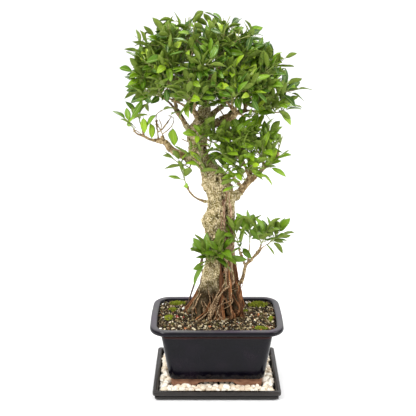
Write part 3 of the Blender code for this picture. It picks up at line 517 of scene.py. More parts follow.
def mouth_ring(share, height, inset=0.0):
    """A ring of the inside, between the body's top and the lip's inner edge."""
    inner_length = BODY_LENGTH[1] - 2 * POT_WALL
    inner_depth = BODY_DEPTH[1] - 2 * POT_WALL
    mouth_length = rim_length - 2 * (RIM_BULGE + RIM_WIDTH)
    mouth_depth = rim_depth - 2 * RIM_WIDTH
    return outline(inner_length + share * (mouth_length - inner_length) - 2 * inset,
                   inner_depth + share * (mouth_depth - inner_depth) - 2 * inset,
                   BODY_CORNER + share * (RIM_CORNER - RIM_WIDTH - BODY_CORNER), height, share * RIM_BULGE)


pot_rings = [body_ring(body_bottom + rise, inset) for rise, inset in (
    (-0.0050, 0.0046), (0.0002, 0.0040), (0.0004, 0.0016), (0.0014, 0.0004), (BASE_TURN, 0.0))]
straight = body_top - body_bottom - 2 * BASE_TURN
pot_rings += [body_ring(body_bottom + BASE_TURN + straight * step / 6) for step in range(1, 7)]
pot_rings += [body_ring(body_top + rise, inset) for rise, inset in (
    (-0.0012, 0.0004), (0.0, 0.0014), (0.0008, 0.0030))]
pot_rings += [body_ring(rim_bottom - drop, inset) for drop, inset in ((0.0012, 0.0032), (0.0002, 0.0026))]
pot_rings += [rim_ring(inset, rim_bottom + rise) for inset, rise in (
    (0.0060, 0.0004), (0.0030, 0.0010), (0.0012, 0.0022), (0.0003, 0.0042), (0.0, 0.0064), (0.0005, 0.0084))]
pot_rings += [rim_ring(inset, rim_top - drop) for inset, drop in (
    (0.0016, 0.0018), (0.0032, 0.0007), (0.0052, 0.0001), (0.0075, 0.0), (0.0105, 0.0003), (0.0125, 0.0011))]
pot_rings += [
    mouth_ring(1.0, rim_top - 0.0026),
    mouth_ring(0.97, rim_top - 0.0050),
    mouth_ring(0.0, body_top - 0.0040),
]
pot_rings += [body_ring(floor_top + rise, POT_WALL + inset) for rise, inset in (
    (0.0060, 0.0), (0.0015, 0.0015), (0.0, 0.0045))]


def carved(mesh, cutters):
    """A mesh with closed meshes cut out of it, one after another."""
    for cutter in cutters:
        target = bpy.data.objects.new("carving", mesh)
        knife = bpy.data.objects.new("knife", cutter)
        scene.collection.objects.link(target)
        scene.collection.objects.link(knife)
        boolean = target.modifiers.new("cut", "BOOLEAN")
        boolean.operation = "DIFFERENCE"
        boolean.object = knife
        mesh = bpy.data.meshes.new_from_object(target.evaluated_get(bpy.context.evaluated_depsgraph_get()))
        bpy.data.objects.remove(target)
        bpy.data.objects.remove(knife)
    return mesh


def plug(x, radius, low, high):
    """An upright round bar, to cut a drain hole."""
    bar = bmesh.new()
    bmesh.ops.create_cone(bar, cap_ends=True, segments=48, radius1=radius, radius2=radius, depth=high - low)
    bmesh.ops.translate(bar, vec=(x, 0.0, (low + high) / 2), verts=bar.verts)
    mesh = bpy.data.meshes.new("plug")
    bar.to_mesh(mesh)
    bar.free()
    return mesh


def drain_plugs():
    """A bar for each drain hole, which reaches past the floor both ways."""
    return [plug(side * DRAIN_SPACING / 2, DRAIN_RADIUS, pot_bottom - DRAIN_CUT, floor_top + DRAIN_CUT)
            for side in (-1, 1)]


def reckoned(material, how, *values):
    """A sum that a math node works out from numbers and other nodes' outputs."""
    node = material.node_tree.nodes.new("ShaderNodeMath")
    node.operation = how
    for socket, value in zip(node.inputs, values):
        fed(material, socket, value)
    return node.outputs[0]


pot_glaze, glaze_shader = finish_of("blue_black_glaze", 0.14, 0.20)
glaze_place = place_on(pot_glaze)
glaze_height = axes_of(pot_glaze, glaze_place)["Z"]
glaze_cloud = cloudy(pot_glaze, glaze_place, 26.0, 5.0)
glaze_speck = cloudy(pot_glaze, glaze_place, 900.0, 2.0)
glaze_deep = graded(pot_glaze, glaze_cloud, [
    (0.30, tint(4, 3, 8)), (0.55, tint(8, 6, 15)), (0.80, tint(24, 16, 26)),
])
neck_wave = reckoned(pot_glaze, "MULTIPLY_ADD", glaze_cloud, 0.006, glaze_height)
neck_band = band(pot_glaze, neck_wave, (body_top - 0.001, body_top + 0.005),
                 (rim_bottom + 0.001, rim_bottom + 0.006))
glaze_brown = mixed(pot_glaze, neck_band, glaze_deep, tint(80, 47, 40))
glaze_dusty = overlaid(pot_glaze, glaze_brown, tint(70, 66, 76), glaze_speck, 0.64, 0.72, 0.35)
# Painted reflection: the flat top of the lip is painted a lighter grey, as the glaze's reflection of the
# lamps overhead.
lip_painted_reflection = graded(pot_glaze, glaze_cloud, [(0.35, tint(72, 64, 75)), (0.65, tint(77, 77, 77))])
lip_flat = spread(pot_glaze, glaze_height, rim_top - 0.0022, rim_top - 0.0004)
glaze_lip_reflection = mixed(pot_glaze, lip_flat, glaze_dusty, lip_painted_reflection)
glaze_sheen = spread(pot_glaze, glaze_cloud, 0.3, 0.7, 0.10, 0.22)
coloured(pot_glaze, glaze_shader, glaze_lip_reflection, mixed(pot_glaze, lip_flat, glaze_sheen, (0.38, 0.38, 0.38, 1.0)))
embossed(pot_glaze, glaze_shader, glaze_cloud, 0.0007, 0.25)

piece("pot_glazed", carved(lofted(pot_rings), drain_plugs()), [pot_glaze], ["pot"], 50)


def arch_cutter(half, across):
    """A sloped opening right through the foot ring, along one way."""
    low = pot_bottom - CUT_BELOW
    shoulder = half - ARCH_SLOPE
    crown = shoulder - ARCH_TURN
    line = [(-half, low), (half, low), (half, pot_bottom),
            (shoulder, floor_bottom - ARCH_TURN), (crown, floor_bottom - 0.0006),
            (-crown, floor_bottom - 0.0006), (-shoulder, floor_bottom - ARCH_TURN), (-half, pot_bottom)]
    block = bmesh.new()
    side = block.faces.new([block.verts.new((u, -CUT_REACH, z)) for u, z in line])
    swept = bmesh.ops.extrude_face_region(block, geom=[side])
    far = [item for item in swept["geom"] if isinstance(item, bmesh.types.BMVert)]
    bmesh.ops.translate(block, vec=(0.0, 2 * CUT_REACH, 0.0), verts=far)
    if across:
        quarter_turn = Matrix.Rotation(math.radians(90), 3, "Z")
        bmesh.ops.rotate(block, cent=(0, 0, 0), matrix=quarter_turn, verts=block.verts)
    bmesh.ops.recalc_face_normals(block, faces=block.faces)
    mesh = bpy.data.meshes.new("arch")
    block.to_mesh(mesh)
    block.free()
    return mesh


foot_solid = lofted([
    outline(FOOT_LENGTH - 0.002, FOOT_DEPTH - 0.002, BODY_CORNER - 0.004, pot_bottom, 0.0, 9, 3),
    outline(FOOT_LENGTH, FOOT_DEPTH, BODY_CORNER - 0.003, pot_bottom + 0.0012, 0.0, 9, 3),
    outline(FOOT_LENGTH, FOOT_DEPTH, BODY_CORNER - 0.003, body_bottom + 0.0006, 0.0, 9, 3),
])
foot_hollow = lofted([
    outline(FOOT_LENGTH - 2 * FOOT_WIDTH, FOOT_DEPTH - 2 * FOOT_WIDTH, 0.006, height, 0.0, 5, 3)
    for height in (pot_bottom - CUT_BELOW, floor_bottom)
])
foot_cuts = [foot_hollow, arch_cutter(ARCH_LENGTHS[0] / 2, False), arch_cutter(ARCH_LENGTHS[1] / 2, True)]
foot_cuts += drain_plugs()

bare_clay, clay_shader = finish_of("bare_red_clay", 0.85, 0.2)
clay_cloud = cloudy(bare_clay, place_on(bare_clay, (1, 1, 2)), 70.0, 6.0)
clay_grit = cloudy(bare_clay, place_on(bare_clay), 1100.0, 2.0)
clay_base = graded(bare_clay, clay_cloud, [
    (0.30, tint(112, 78, 60)), (0.60, tint(150, 110, 86)), (0.80, tint(168, 132, 108)),
])
clay_spotted = overlaid(bare_clay, clay_base, tint(92, 62, 48), clay_grit, 0.60, 0.72, 0.5)
coloured(bare_clay, clay_shader, clay_spotted, spread(bare_clay, clay_cloud, 0.3, 0.7, 0.75, 0.92))
embossed(bare_clay, clay_shader, clay_grit, 0.0003, 0.6)
piece("pot_bare_feet", carved(foot_solid, foot_cuts), [bare_clay], ["pot"], 30)

# ---- Drain screens --------------------------------------------------------------------------
# Squares of coarse black plastic netting over the drain holes, which keep the soil in. They keep
# their frame shape and only take a finish.


def clouded_finish(name, specular, scale, detail, stops, roughness, depth, strength):
    """A finish whose colour, sheen and fine relief all follow one soft cloud."""
    material, shader = finish_of(name, roughness[0], specular)
    cloud = cloudy(material, place_on(material), scale, detail)
    coloured(material, shader, graded(material, cloud, stops), spread(material, cloud, 0.3, 0.7, *roughness))
    embossed(material, shader, cloud, depth, strength)
    return material


net_plastic = clouded_finish("black_netting", 0.5, 400.0, 4.0, [
    (0.3, tint(22, 22, 22)), (0.7, tint(46, 44, 42)),
], (0.40, 0.65), 0.0002, 0.4)
for name in ("drain_screen_left", "drain_screen_right"):
    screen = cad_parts[name]
    screen.data.materials.clear()
    screen.data.materials.append(net_plastic)

# ---- Soil -----------------------------------------------------------------------------------
# A free-draining mix of pumice, baked clay, bark and lava in grains of 2 to 6 mm. One block
# fills the pot to just under the lip, and loose grains in all its colours lie over its top.
soil_low, soil_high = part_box("soil")
soil_top = soil_high.z
SOIL_GAP = 0.0004
SOIL_RINGS = 22
COARSE_RADII = (0.0019, 0.0034)
FINE_RADII = (0.0009, 0.0017)

soil_rings = [
    body_ring(soil_low.z, POT_WALL + 0.006),
    body_ring(soil_low.z + 0.004, POT_WALL + SOIL_GAP),
    mouth_ring(0.0, body_top - 0.0046, SOIL_GAP),
    mouth_ring(0.95, soil_top - 0.0045, SOIL_GAP),
    mouth_ring(0.97, soil_top - 0.0030, SOIL_GAP),
]
soil_edge = soil_rings[-1]
for step in range(1, SOIL_RINGS):
    share = 1 - step / SOIL_RINGS
    ring = []
    for point in soil_edge:
        x = point.x * share
        y = point.y * share
        mound = noise.noise(Vector((x, y, 0.3)) * 30)
        crumb = noise.noise(Vector((x, y, 0.7)) * 150)
        ring.append(Vector((x, y, soil_top - 0.0026 + (0.0012 * mound + 0.0007 * crumb))))
    soil_rings.append(ring)

soil_dark = clouded_finish("damp_soil", 0.5, 300.0, 6.0, [
    (0.35, tint(20, 14, 7)), (0.55, tint(44, 32, 18)), (0.75, tint(84, 66, 42)),
], (0.95, 0.95), 0.001, 0.8)
piece("soil_block", lofted(soil_rings), [soil_dark], ["soil"], 60)

mouth_half_x = rim_length / 2 - RIM_WIDTH - RIM_BULGE
mouth_half_y = rim_depth / 2 - RIM_WIDTH


def in_mouth(x, y, radius):
    """True where a grain lies clear of the pot's inner edge."""
    corner = RIM_CORNER - RIM_WIDTH
    bow = RIM_BULGE * (1 - (y / (rim_depth / 2)) ** 2)
    over_x = max(abs(x) - (mouth_half_x + bow - corner), 0.0)
    over_y = max(abs(y) - (mouth_half_y - corner), 0.0)
    return math.hypot(over_x, over_y) < corner - radius - 0.0006


def grain_layer(radii, closeness, tries, height, drop, lift):
    """Grains strewn over the pot's mouth at a height, each a little lower or higher."""
    places = strewn(mouth_half_x + RIM_BULGE, mouth_half_y, in_mouth, radii, closeness, tries)
    return [(Vector((x, y, height + dice.uniform(-drop, lift))), radius) for x, y, radius in places]


grain_finish, grain_shader = finish_of("mixed_grain", 0.85, 0.25)
grain_tone = graded(grain_finish, island_pick(grain_finish), [
    (0.00, tint(28, 19, 8)), (0.18, tint(60, 43, 22)), (0.32, tint(100, 80, 50)), (0.42, tint(38, 30, 14)),
    (0.55, tint(146, 126, 92)), (0.64, tint(74, 70, 30)), (0.71, tint(178, 162, 126)),
    (0.80, tint(222, 208, 176)), (0.88, tint(24, 18, 12)), (0.955, tint(186, 120, 76)),
    (0.972, tint(160, 60, 52)), (0.980, tint(252, 250, 240)),
], True)
grain_cloud = cloudy(grain_finish, place_on(grain_finish), 900.0, 4.0)
grain_worn = overlaid(grain_finish, grain_tone, tint(50, 37, 20), grain_cloud, 0.42, 0.72, 0.6)
coloured(grain_finish, grain_shader, grain_worn)
embossed(grain_finish, grain_shader, grain_cloud, 0.0006, 0.7)

coarse_grains = grain_layer(COARSE_RADII, 0.84, 9000, soil_top - 0.0010, 0.0010, 0.0012)
fine_grains = grain_layer(FINE_RADII, 1.30, 5000, soil_top - 0.0002, 0.0012, 0.0014)
piece("soil_grains_coarse", heap(coarse_grains, 2, 0.30, (0.7, 1.0)), [grain_finish], (), 40)
piece("soil_grains_fine", heap(fine_grains, 1, 0.35, (0.7, 1.0)), [grain_finish], (), 40)

# ---- Moss -----------------------------------------------------------------------------------
# Cushions of bright yellow-green moss that have crept over the soil near the pot's edges. Each
# is a crowd of short upright shoots over the patch's own low mound.
MOSS_SIDES = 5

moss_green, moss_shader = finish_of("cushion_moss", 0.95, 0.1)
moss_tone = graded(moss_green, island_pick(moss_green), [
    (0.0, tint(88, 98, 22)), (0.35, tint(130, 146, 36)), (0.65, tint(158, 170, 50)),
    (0.85, tint(104, 98, 40)), (1.0, tint(184, 186, 84)),
])
moss_cloud = cloudy(moss_green, place_on(moss_green), 500.0)
moss_dusky = overlaid(moss_green, moss_tone, tint(84, 88, 30), moss_cloud, 0.4, 0.7, 0.4)
coloured(moss_green, moss_shader, moss_dusky)
embossed(moss_green, moss_shader, moss_cloud, 0.0005, 0.6)


def moss_patch(name, low, high, density, replaced):
    """A mound of tiny pointed shoots inside a box on the soil. A higher density sets them closer."""
    middle = (low + high) / 2
    half = (high - low) / 2
    points = []
    faces = []
    for _ in range(int(density * half.x * half.y * 1e6)):
        angle = dice.uniform(0, 2 * math.pi)
        reach = math.sqrt(dice.random())
        x = middle.x + half.x * reach * math.cos(angle)
        y = middle.y + half.y * reach * math.sin(angle)
        reach *= 1 + 0.35 * noise.noise(Vector((x, y, 0.0)) * 120)
        if reach > 1:
            continue
        floor = soil_top - 0.0012 + 0.55 * (high.z - soil_top) * (1 - reach ** 2)
        tall = dice.uniform(0.0016, 0.0034)
        thick = dice.uniform(0.0005, 0.0009)
        lean = Vector((dice.uniform(-1, 1), dice.uniform(-1, 1), 0.0)) * 0.6 * tall
        first = len(points)
        for side in range(MOSS_SIDES):
            spin = angle + 2 * math.pi * side / MOSS_SIDES
            edge = (x + thick * math.cos(spin), y + thick * math.sin(spin), floor + 0.4 * tall)
            points.append(Vector(edge))
        points.append(Vector((x, y, floor - 0.0004)))
        points.append(Vector((x, y, floor + tall)) + lean)
        for side in range(MOSS_SIDES):
            here = first + side
            there = first + (side + 1) % MOSS_SIDES
            faces += [[first + MOSS_SIDES, there, here], [here, there, first + MOSS_SIDES + 1]]
    mesh = bpy.data.meshes.new(name)
    mesh.from_pydata(points, [], faces)
    return piece(name, mesh, [moss_green], replaced, 60)


for name in ("back_left", "left", "front_left", "back_right", "front_right", "right"):
    low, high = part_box("moss_" + name)
    moss_patch("moss_tufts_" + name, low, high, 2.6, ["moss_" + name])
small_low = Vector((0.050, 0.020, soil_top))
small_high = Vector((0.064, 0.032, soil_top + 0.003))
moss_patch("moss_tufts_small", small_low, small_high, 2.0, ())

# ---- Trunk and limbs ------------------------------------------------------------------------
# One old fig trunk in pale, mottled bark. A deep furrow runs down right of its middle, and the
# aerial roots beyond it have grown into the wood. It starts from the frame's solids, which are
# fused, softened and then given ridges, burrs, healed cuts and a hollow foot.
TRUNK_QUAD = 0.0010
TRUNK_SCARS = 46
LIMB_QUAD = 0.0008
LIMB_SCARS = 90
FURROW_PLACE = 0.0135
FURROW_WIDTH = 0.0030
FURROW_DEPTH = 0.0045
FURROW_HEIGHTS = (0.075, 0.255)
HOLLOW_DEPTH = 0.0085
LIMB_NAMES = [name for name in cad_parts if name.startswith(("limb_", "stem_", "twig_"))]


def welded_copy(names, swell):
    """The named frame solids as one mesh, each swollen a little so that they meet."""
    joined = bmesh.new()
    for name in names:
        joined.from_mesh(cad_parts[name].data)
    bmesh.ops.remove_doubles(joined, verts=joined.verts, dist=0.00002)
    bmesh.ops.recalc_face_normals(joined, faces=joined.faces)
    joined.normal_update()
    for vertex in joined.verts:
        vertex.co += vertex.normal * swell
    mesh = bpy.data.meshes.new("wood")
    joined.to_mesh(mesh)
    joined.free()
    return mesh


def reskinned(mesh, voxel, smoothing):
    """The mesh under one even skin of small quads, with its corners softened."""
    blank = bpy.data.objects.new("blank", mesh)
    scene.collection.objects.link(blank)
    skin = blank.modifiers.new("skin", "REMESH")
    skin.mode = "VOXEL"
    skin.voxel_size = voxel
    soften = blank.modifiers.new("soften", "SMOOTH")
    soften.iterations = smoothing
    soften.factor = 0.5
    result = bpy.data.meshes.new_from_object(blank.evaluated_get(bpy.context.evaluated_depsgraph_get()))
    bpy.data.objects.remove(blank)
    return result


def places_of(mesh):
    """The places of a mesh's vertices, one row each."""
    values = np.zeros(len(mesh.vertices) * 3, np.float32)
    mesh.vertices.foreach_get("co", values)
    return values.reshape(-1, 3)


def normals_of(mesh):
    """The directions that a mesh's vertices face, one row each."""
    values = np.zeros(len(mesh.vertices) * 3, np.float32)
    mesh.vertex_normals.foreach_get("vector", values)
    return values.reshape(-1, 3)


def barked(mesh, burrs, ridges, flecks, scars, seed, extra=None):
    """Raises bark on a mesh and keeps how high each point stands, so that its colour can darken the low
    places with painted shade.
    """
    places = places_of(mesh)
    normals = normals_of(mesh)
    shift = Vector((seed, 2 * seed, 3 * seed))
    relief = np.zeros(len(places), np.float32)
    depth = np.zeros(len(places), np.float32)
    # Ridges run up the wood, seams and short level cracks open in it, and flecks and broad burrs
    # stand out over them.
    for i, (x, y, z) in enumerate(places):
        ridge = 1 - 2 * abs(noise.noise(Vector((x * 120, y * 120, z * 42)) + shift))
        seam = abs(noise.noise(Vector((x * 100, y * 100, z * 58)) - shift))
        crack = abs(noise.noise(Vector((x * 190, y * 190, z * 320)) - shift))
        fleck = noise.noise(Vector((x * 420, y * 420, z * 260)) + shift)
        burr = noise.noise(Vector((x * 60, y * 60, z * 45)) - shift)
        gap = max(0.0, 0.8 - seam / 0.08, 0.5 - crack / 0.16)
        relief[i] = 0.45 * (ridge - 0.4) + 0.60 * fleck - 0.7 * gap
        depth[i] = burrs * burr + ridges * (ridge - 0.5) + flecks * (fleck - 0.9 * gap)
    for middle, radius in scars:
        away = np.linalg.norm(places - np.array(middle, np.float32), axis=1) / radius
        collar = np.exp(-((away - 0.9) / 0.30) ** 2)
        heart = np.exp(-(away / 0.50) ** 2)
        depth += radius * (0.30 * collar - 0.20 * heart)
        relief += 0.4 * collar - 0.5 * heart
    if extra is not None:
        depth += extra(places, normals, relief)
    places += normals * depth[:, None]
    mesh.vertices.foreach_set("co", places.ravel())
    held = mesh.attributes.new("relief", "FLOAT", "POINT")
    held.data.foreach_set("value", relief)
    mesh.update()


def furrow_and_hollow(places, normals, relief):
    """The long furrow right of the trunk's middle, and the hollow among the roots at its foot."""
    height = places[:, 2] - soil_top
    front = np.clip(-normals[:, 1] * 1.6, 0, 1)
    line = FURROW_PLACE + 0.002 * np.sin(height * 40)
    across = np.exp(-((places[:, 0] - line) / FURROW_WIDTH) ** 2)
    low, high = FURROW_HEIGHTS
    along = np.clip((height - low) / 0.03, 0, 1) * np.clip((high - height) / 0.03, 0, 1)
    furrow = across * along * front
    hollow = np.exp(-((places[:, 0] - 0.004) / 0.020) ** 2 - ((height - 0.022) / 0.030) ** 2) * front
    # Lowering their relief also darkens them in the bark's colour, as painted shade.
    relief -= 1.6 * furrow + 1.3 * hollow
    return -FURROW_DEPTH * furrow - HOLLOW_DEPTH * hollow


trunk_mesh = reskinned(welded_copy(["trunk"], 0.0002), TRUNK_QUAD, 12)
trunk_places = places_of(trunk_mesh)
open_bark = np.where((trunk_places[:, 2] > soil_top + 0.09) & (trunk_places[:, 2] < soil_top + 0.40))[0]
trunk_scars = [(trunk_places[open_bark[dice.randrange(len(open_bark))]], dice.uniform(0.0035, 0.0075))
               for _ in range(TRUNK_SCARS)]
barked(trunk_mesh, 0.0034, 0.0018, 0.0011, trunk_scars, 3.1, furrow_and_hollow)


def relief_of(material):
    """How high each point of the bark stands, as its mesh keeps it."""
    held = material.node_tree.nodes.new("ShaderNodeAttribute")
    held.attribute_name = "relief"
    return held.outputs["Fac"]


foot_low, foot_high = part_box("trunk")
fig_bark, bark_shader = finish_of("fig_bark", 0.85, 0.15)
bark_place = place_on(fig_bark)
bark_axes = axes_of(fig_bark, bark_place)
bark_patch = cloudy(fig_bark, bark_place, 90.0, 5.0)
bark_fleck = cloudy(fig_bark, bark_place, 420.0, 4.0)
bark_olive = graded(fig_bark, bark_patch, [
    (0.36, tint(107, 96, 52)), (0.50, tint(156, 140, 98)), (0.60, tint(199, 182, 145)),
])
bark_flecked = overlaid(fig_bark, bark_olive, tint(236, 222, 186), bark_fleck, 0.52, 0.62, 0.8)
bark_stained = overlaid(fig_bark, bark_flecked, tint(104, 92, 40), bark_fleck, 0.47, 0.38, 0.75)
# Painted shade: the bark is darkened where it stands low, in seams, cracks, the hearts of healed cuts, the
# furrow and the hollow.
bark_hollow_shade = overlaid(fig_bark, bark_stained, tint(56, 42, 18), relief_of(fig_bark), -0.05, -0.80)
# Towards the foot the bark turns dark brown, partly the root bark's own colour and partly painted shade among
# the roots. A narrow band at the left edge stays pale, a painted highlight on the lit side.
bark_wavy = reckoned(fig_bark, "MULTIPLY_ADD", bark_patch, 0.05, bark_axes["Z"])
bark_foot = spread(fig_bark, bark_wavy, soil_top + 0.112, soil_top + 0.075, 0.0, 0.90)
bark_lit_left_edge = spread(fig_bark, bark_axes["X"], foot_low.x + 0.006, foot_low.x + 0.020, 0.20, 1.0)
bark_shade = mixed(fig_bark, 1.0, bark_foot, bark_lit_left_edge, "MULTIPLY")
bark_brown_shaded_foot = mixed(fig_bark, bark_shade, bark_hollow_shade, tint(42, 28, 13))
coloured(fig_bark, bark_shader, bark_brown_shaded_foot, spread(fig_bark, bark_fleck, 0.3, 0.7, 0.75, 0.95))
embossed(fig_bark, bark_shader, bark_fleck, 0.0015, 0.9)
piece("trunk_wood", trunk_mesh, [fig_bark], ["trunk"], 180)

twig_bark, twig_shader = finish_of("limb_bark", 0.85, 0.15)
twig_place = place_on(twig_bark)
twig_patch = cloudy(twig_bark, twig_place, 150.0, 5.0)
twig_fleck = cloudy(twig_bark, twig_place, 700.0, 3.0)
twig_tone = graded(twig_bark, twig_patch, [
    (0.34, tint(96, 74, 44)), (0.50, tint(146, 122, 84)), (0.66, tint(196, 174, 134)),
])
twig_flecked = overlaid(twig_bark, twig_tone, tint(214, 196, 160), twig_fleck, 0.55, 0.66, 0.7)
# Painted shade: the limb bark is darkened where it stands low.
twig_hollow_shade = overlaid(twig_bark, twig_flecked, tint(66, 46, 26), relief_of(twig_bark), 0.0, -0.7)
coloured(twig_bark, twig_shader, twig_hollow_shade, spread(twig_bark, twig_fleck, 0.3, 0.7, 0.75, 0.95))
embossed(twig_bark, twig_shader, twig_fleck, 0.0008, 0.8)

limb_mesh = reskinned(welded_copy(LIMB_NAMES, 0.00025), LIMB_QUAD, 2)
limb_places = places_of(limb_mesh)
limb_scars = [(limb_places[dice.randrange(len(limb_places))], dice.uniform(0.0024, 0.0048))
              for _ in range(LIMB_SCARS)]
barked(limb_mesh, 0.0010, 0.0004, 0.00025, limb_scars, 8.3)
piece("limb_wood", limb_mesh, [twig_bark], LIMB_NAMES, 180)

# ---- Roots ----------------------------------------------------------------------------------
# Aerial roots that once hung free and have thickened against the trunk. Stout ones lie fused
# along its right side, a curtain of straight brown ones stands under them, and thin pale ones
# cross the hollow in front. One with a fork still hangs free at left.


def skin_of(*meshes):
    """The outside of one or more meshes, on which a place can be looked up."""
    places = []
    faces = []
    for mesh in meshes:
        first = len(places)
        places += [vertex.co.copy() for vertex in mesh.vertices]
        faces += [[first + index for index in face.vertices] for face in mesh.polygons]
    return BVHTree.FromPolygons(places, faces)


wood_skin = skin_of(trunk_mesh)
trunk_axis = Vector((-0.002, (foot_low.y + foot_high.y) / 2, 0.0))


def flowing(stations, steps):
    """A smooth line through stations of x, y, z and radius."""
    points = [Vector(station) for station in stations]
    ends = [2 * points[0] - points[1], *points, 2 * points[-1] - points[-2]]
    line = []
    for before, start, end, after in zip(ends, ends[1:], ends[2:], ends[3:]):
        for step in range(steps):
            t = step / steps
            bend = 2 * before - 5 * start + 4 * end - after
            turn = 3 * start - before - 3 * end + after
            line.append(0.5 * (2 * start + (end - before) * t + bend * t ** 2 + turn * t ** 3))
    line.append(points[-1])
    return line


def rods(lines, roundness, knobbly):
    """One mesh of tapering round rods along lines of x, y, z and radius."""
    curve = bpy.data.curves.new("rods", "CURVE")
    curve.dimensions = "3D"
    curve.bevel_depth = 1.0
    curve.bevel_resolution = roundness
    curve.use_fill_caps = True
    for line in lines:
        spline = curve.splines.new("POLY")
        spline.points.add(len(line) - 1)
        for point, station in zip(spline.points, line):
            point.co = (station[0], station[1], station[2], 1.0)
            point.radius = station[3]
    holder = bpy.data.objects.new("rods", curve)
    scene.collection.objects.link(holder)
    mesh = bpy.data.meshes.new_from_object(holder.evaluated_get(bpy.context.evaluated_depsgraph_get()))
    bpy.data.objects.remove(holder)
    weld = bmesh.new()
    weld.from_mesh(mesh)
    bmesh.ops.remove_doubles(weld, verts=weld.verts, dist=0.000002)
    bmesh.ops.recalc_face_normals(weld, faces=weld.faces)
    weld.normal_update()
    for vertex in weld.verts:
        vertex.co += vertex.normal * knobbly * noise.noise(vertex.co * 230)
    weld.to_mesh(mesh)
    weld.free()
    mesh.materials.clear()
    return mesh


def on_bark(angle, height, out):
    """A point a distance out from the trunk's bark, at an angle and a height above the soil."""
    way = Vector((math.cos(angle), math.sin(angle), 0.0))
    middle = Vector((trunk_axis.x, trunk_axis.y, soil_top + height))
    hit = wood_skin.ray_cast(middle + way * 0.15, -way)[0]
    reach = (hit - middle).length if hit else 0.03
    return middle + way * (reach + out)


def root_down(angle, swing, top, radius, out, foot, sway, low=0.0):
    """A root from a height on the bark down to a low one, or into the soil, round the trunk by a swing."""
    stations = []
    count = 5 + int(top / 0.03)
    for step in range(count):
        share = step / (count - 1)
        height = top + (low - top) * share
        away = out + (foot - out) * share ** 3 + dice.uniform(-0.5, 0.5) * sway
        point = on_bark(angle + swing * share + dice.uniform(-6, 6) * sway, max(height, 0.003), away)
        point.z = soil_top + height - 0.003 * share
        end = min(share, 1 - share) if low else share
        stations.append((*point, radius * (1 - 0.3 * share) * min(1.0, 0.3 + 3.5 * end)))
    return flowing(stations, 4)


FUSED_ROOTS = (
    (-64, 0.215, 0.0020), (-57, 0.150, 0.0018), (-50, 0.252, 0.0030), (-43, 0.200, 0.0020),
    (-36, 0.262, 0.0028), (-29, 0.225, 0.0022), (-22, 0.250, 0.0032), (-14, 0.180, 0.0022),
    (-6, 0.215, 0.0028), (4, 0.160, 0.0022), (14, 0.190, 0.0030), (28, 0.150, 0.0024),
)
fused_lines = []
for bearing, top, radius in FUSED_ROOTS:
    swing = dice.uniform(-0.10, 0.10)
    low = dice.uniform(0.035, 0.070)
    fused_lines.append(root_down(math.radians(bearing), swing, top, radius, -0.2 * radius, -0.4 * radius,
                                 0.0012, low))
fused_bark, fused_shader = finish_of("fused_root_bark", 0.85, 0.15)
fused_patch = cloudy(fused_bark, place_on(fused_bark, (1, 1, 0.25)), 480.0, 6.0)
fused_cloud = cloudy(fused_bark, place_on(fused_bark), 60.0, 3.0)
fused_light = graded(fused_bark, fused_patch, [
    (0.36, tint(88, 62, 44)), (0.50, tint(156, 124, 98)), (0.62, tint(216, 190, 160)),
])
fused_tone = overlaid(fused_bark, fused_light, tint(104, 74, 54), fused_cloud, 0.45, 0.60, 0.55)
coloured(fused_bark, fused_shader, fused_tone, spread(fused_bark, fused_patch, 0.3, 0.7, 0.7, 0.9))
embossed(fused_bark, fused_shader, fused_patch, 0.0012, 0.8)
piece("fused_roots", rods(fused_lines, 4, 0.0011), [fused_bark], (), 60)


def root_crowd(count, bearing, swing, top, radius, out, foot, sway):
    """Many roots down the bark, each with its own bearing in degrees and sizes drawn from ranges."""
    return [root_down(math.radians(dice.uniform(*bearing)), dice.uniform(*swing), dice.uniform(*top),
                      dice.uniform(*radius), dice.uniform(*out), dice.uniform(*foot), sway)
            for _ in range(count)]


curtain_lines = root_crowd(84, (-72, 30), (-0.10, 0.10), (0.060, 0.125), (0.0008, 0.0018),
                           (-0.0002, 0.0026), (0.002, 0.010), 0.0012)
curtain_lines += root_crowd(50, (-118, 200), (-0.5, 0.5), (0.020, 0.075), (0.0007, 0.0017),
                            (-0.0002, 0.0024), (0.003, 0.014), 0.0020)
crossing_lines = root_crowd(11, (-70, -20), (-0.6, -1.9), (0.040, 0.095), (0.0009, 0.0019),
                            (0.0015, 0.0060), (0.004, 0.014), 0.0046)
crossing_lines += root_crowd(10, (-150, -90), (-0.4, 1.0), (0.020, 0.062), (0.0008, 0.0018),
                             (0.0010, 0.0050), (0.004, 0.014), 0.0034)

root_bark, root_shader = finish_of("root_bark", 0.8, 0.2)
root_tone = graded(root_bark, island_pick(root_bark), [
    (0.0, tint(30, 17, 8)), (0.22, tint(104, 64, 38)), (0.42, tint(162, 112, 74)), (0.56, tint(50, 30, 17)),
    (0.72, tint(178, 122, 78)), (0.88, tint(104, 66, 40)), (1.0, tint(206, 162, 118)),
])
root_cloud = cloudy(root_bark, place_on(root_bark), 380.0, 5.0)
root_worn = overlaid(root_bark, root_tone, tint(112, 82, 52), root_cloud, 0.48, 0.68, 0.6)
coloured(root_bark, root_shader, root_worn, spread(root_bark, root_cloud, 0.3, 0.7, 0.65, 0.9))
embossed(root_bark, root_shader, root_cloud, 0.0006, 0.7)
piece("root_curtain", rods(curtain_lines, 2, 0.0005), [root_bark], (), 60)

pale_root = clouded_finish("pale_root_bark", 0.2, 420.0, 5.0, [
    (0.36, tint(70, 50, 32)), (0.50, tint(136, 108, 78)), (0.62, tint(196, 170, 134)),
], (0.65, 0.90), 0.0005, 0.7)
piece("root_crossings", rods(crossing_lines, 2, 0.0005), [pale_root], (), 60)

hanging_low, hanging_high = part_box("aerial_root")


def hung(rows):
    """Points of a hanging root, each given as how far left, back and down from where it starts."""
    return [(hanging_high.x - left, hanging_low.y + back, hanging_high.z - down, radius)
            for left, back, down, radius in rows]


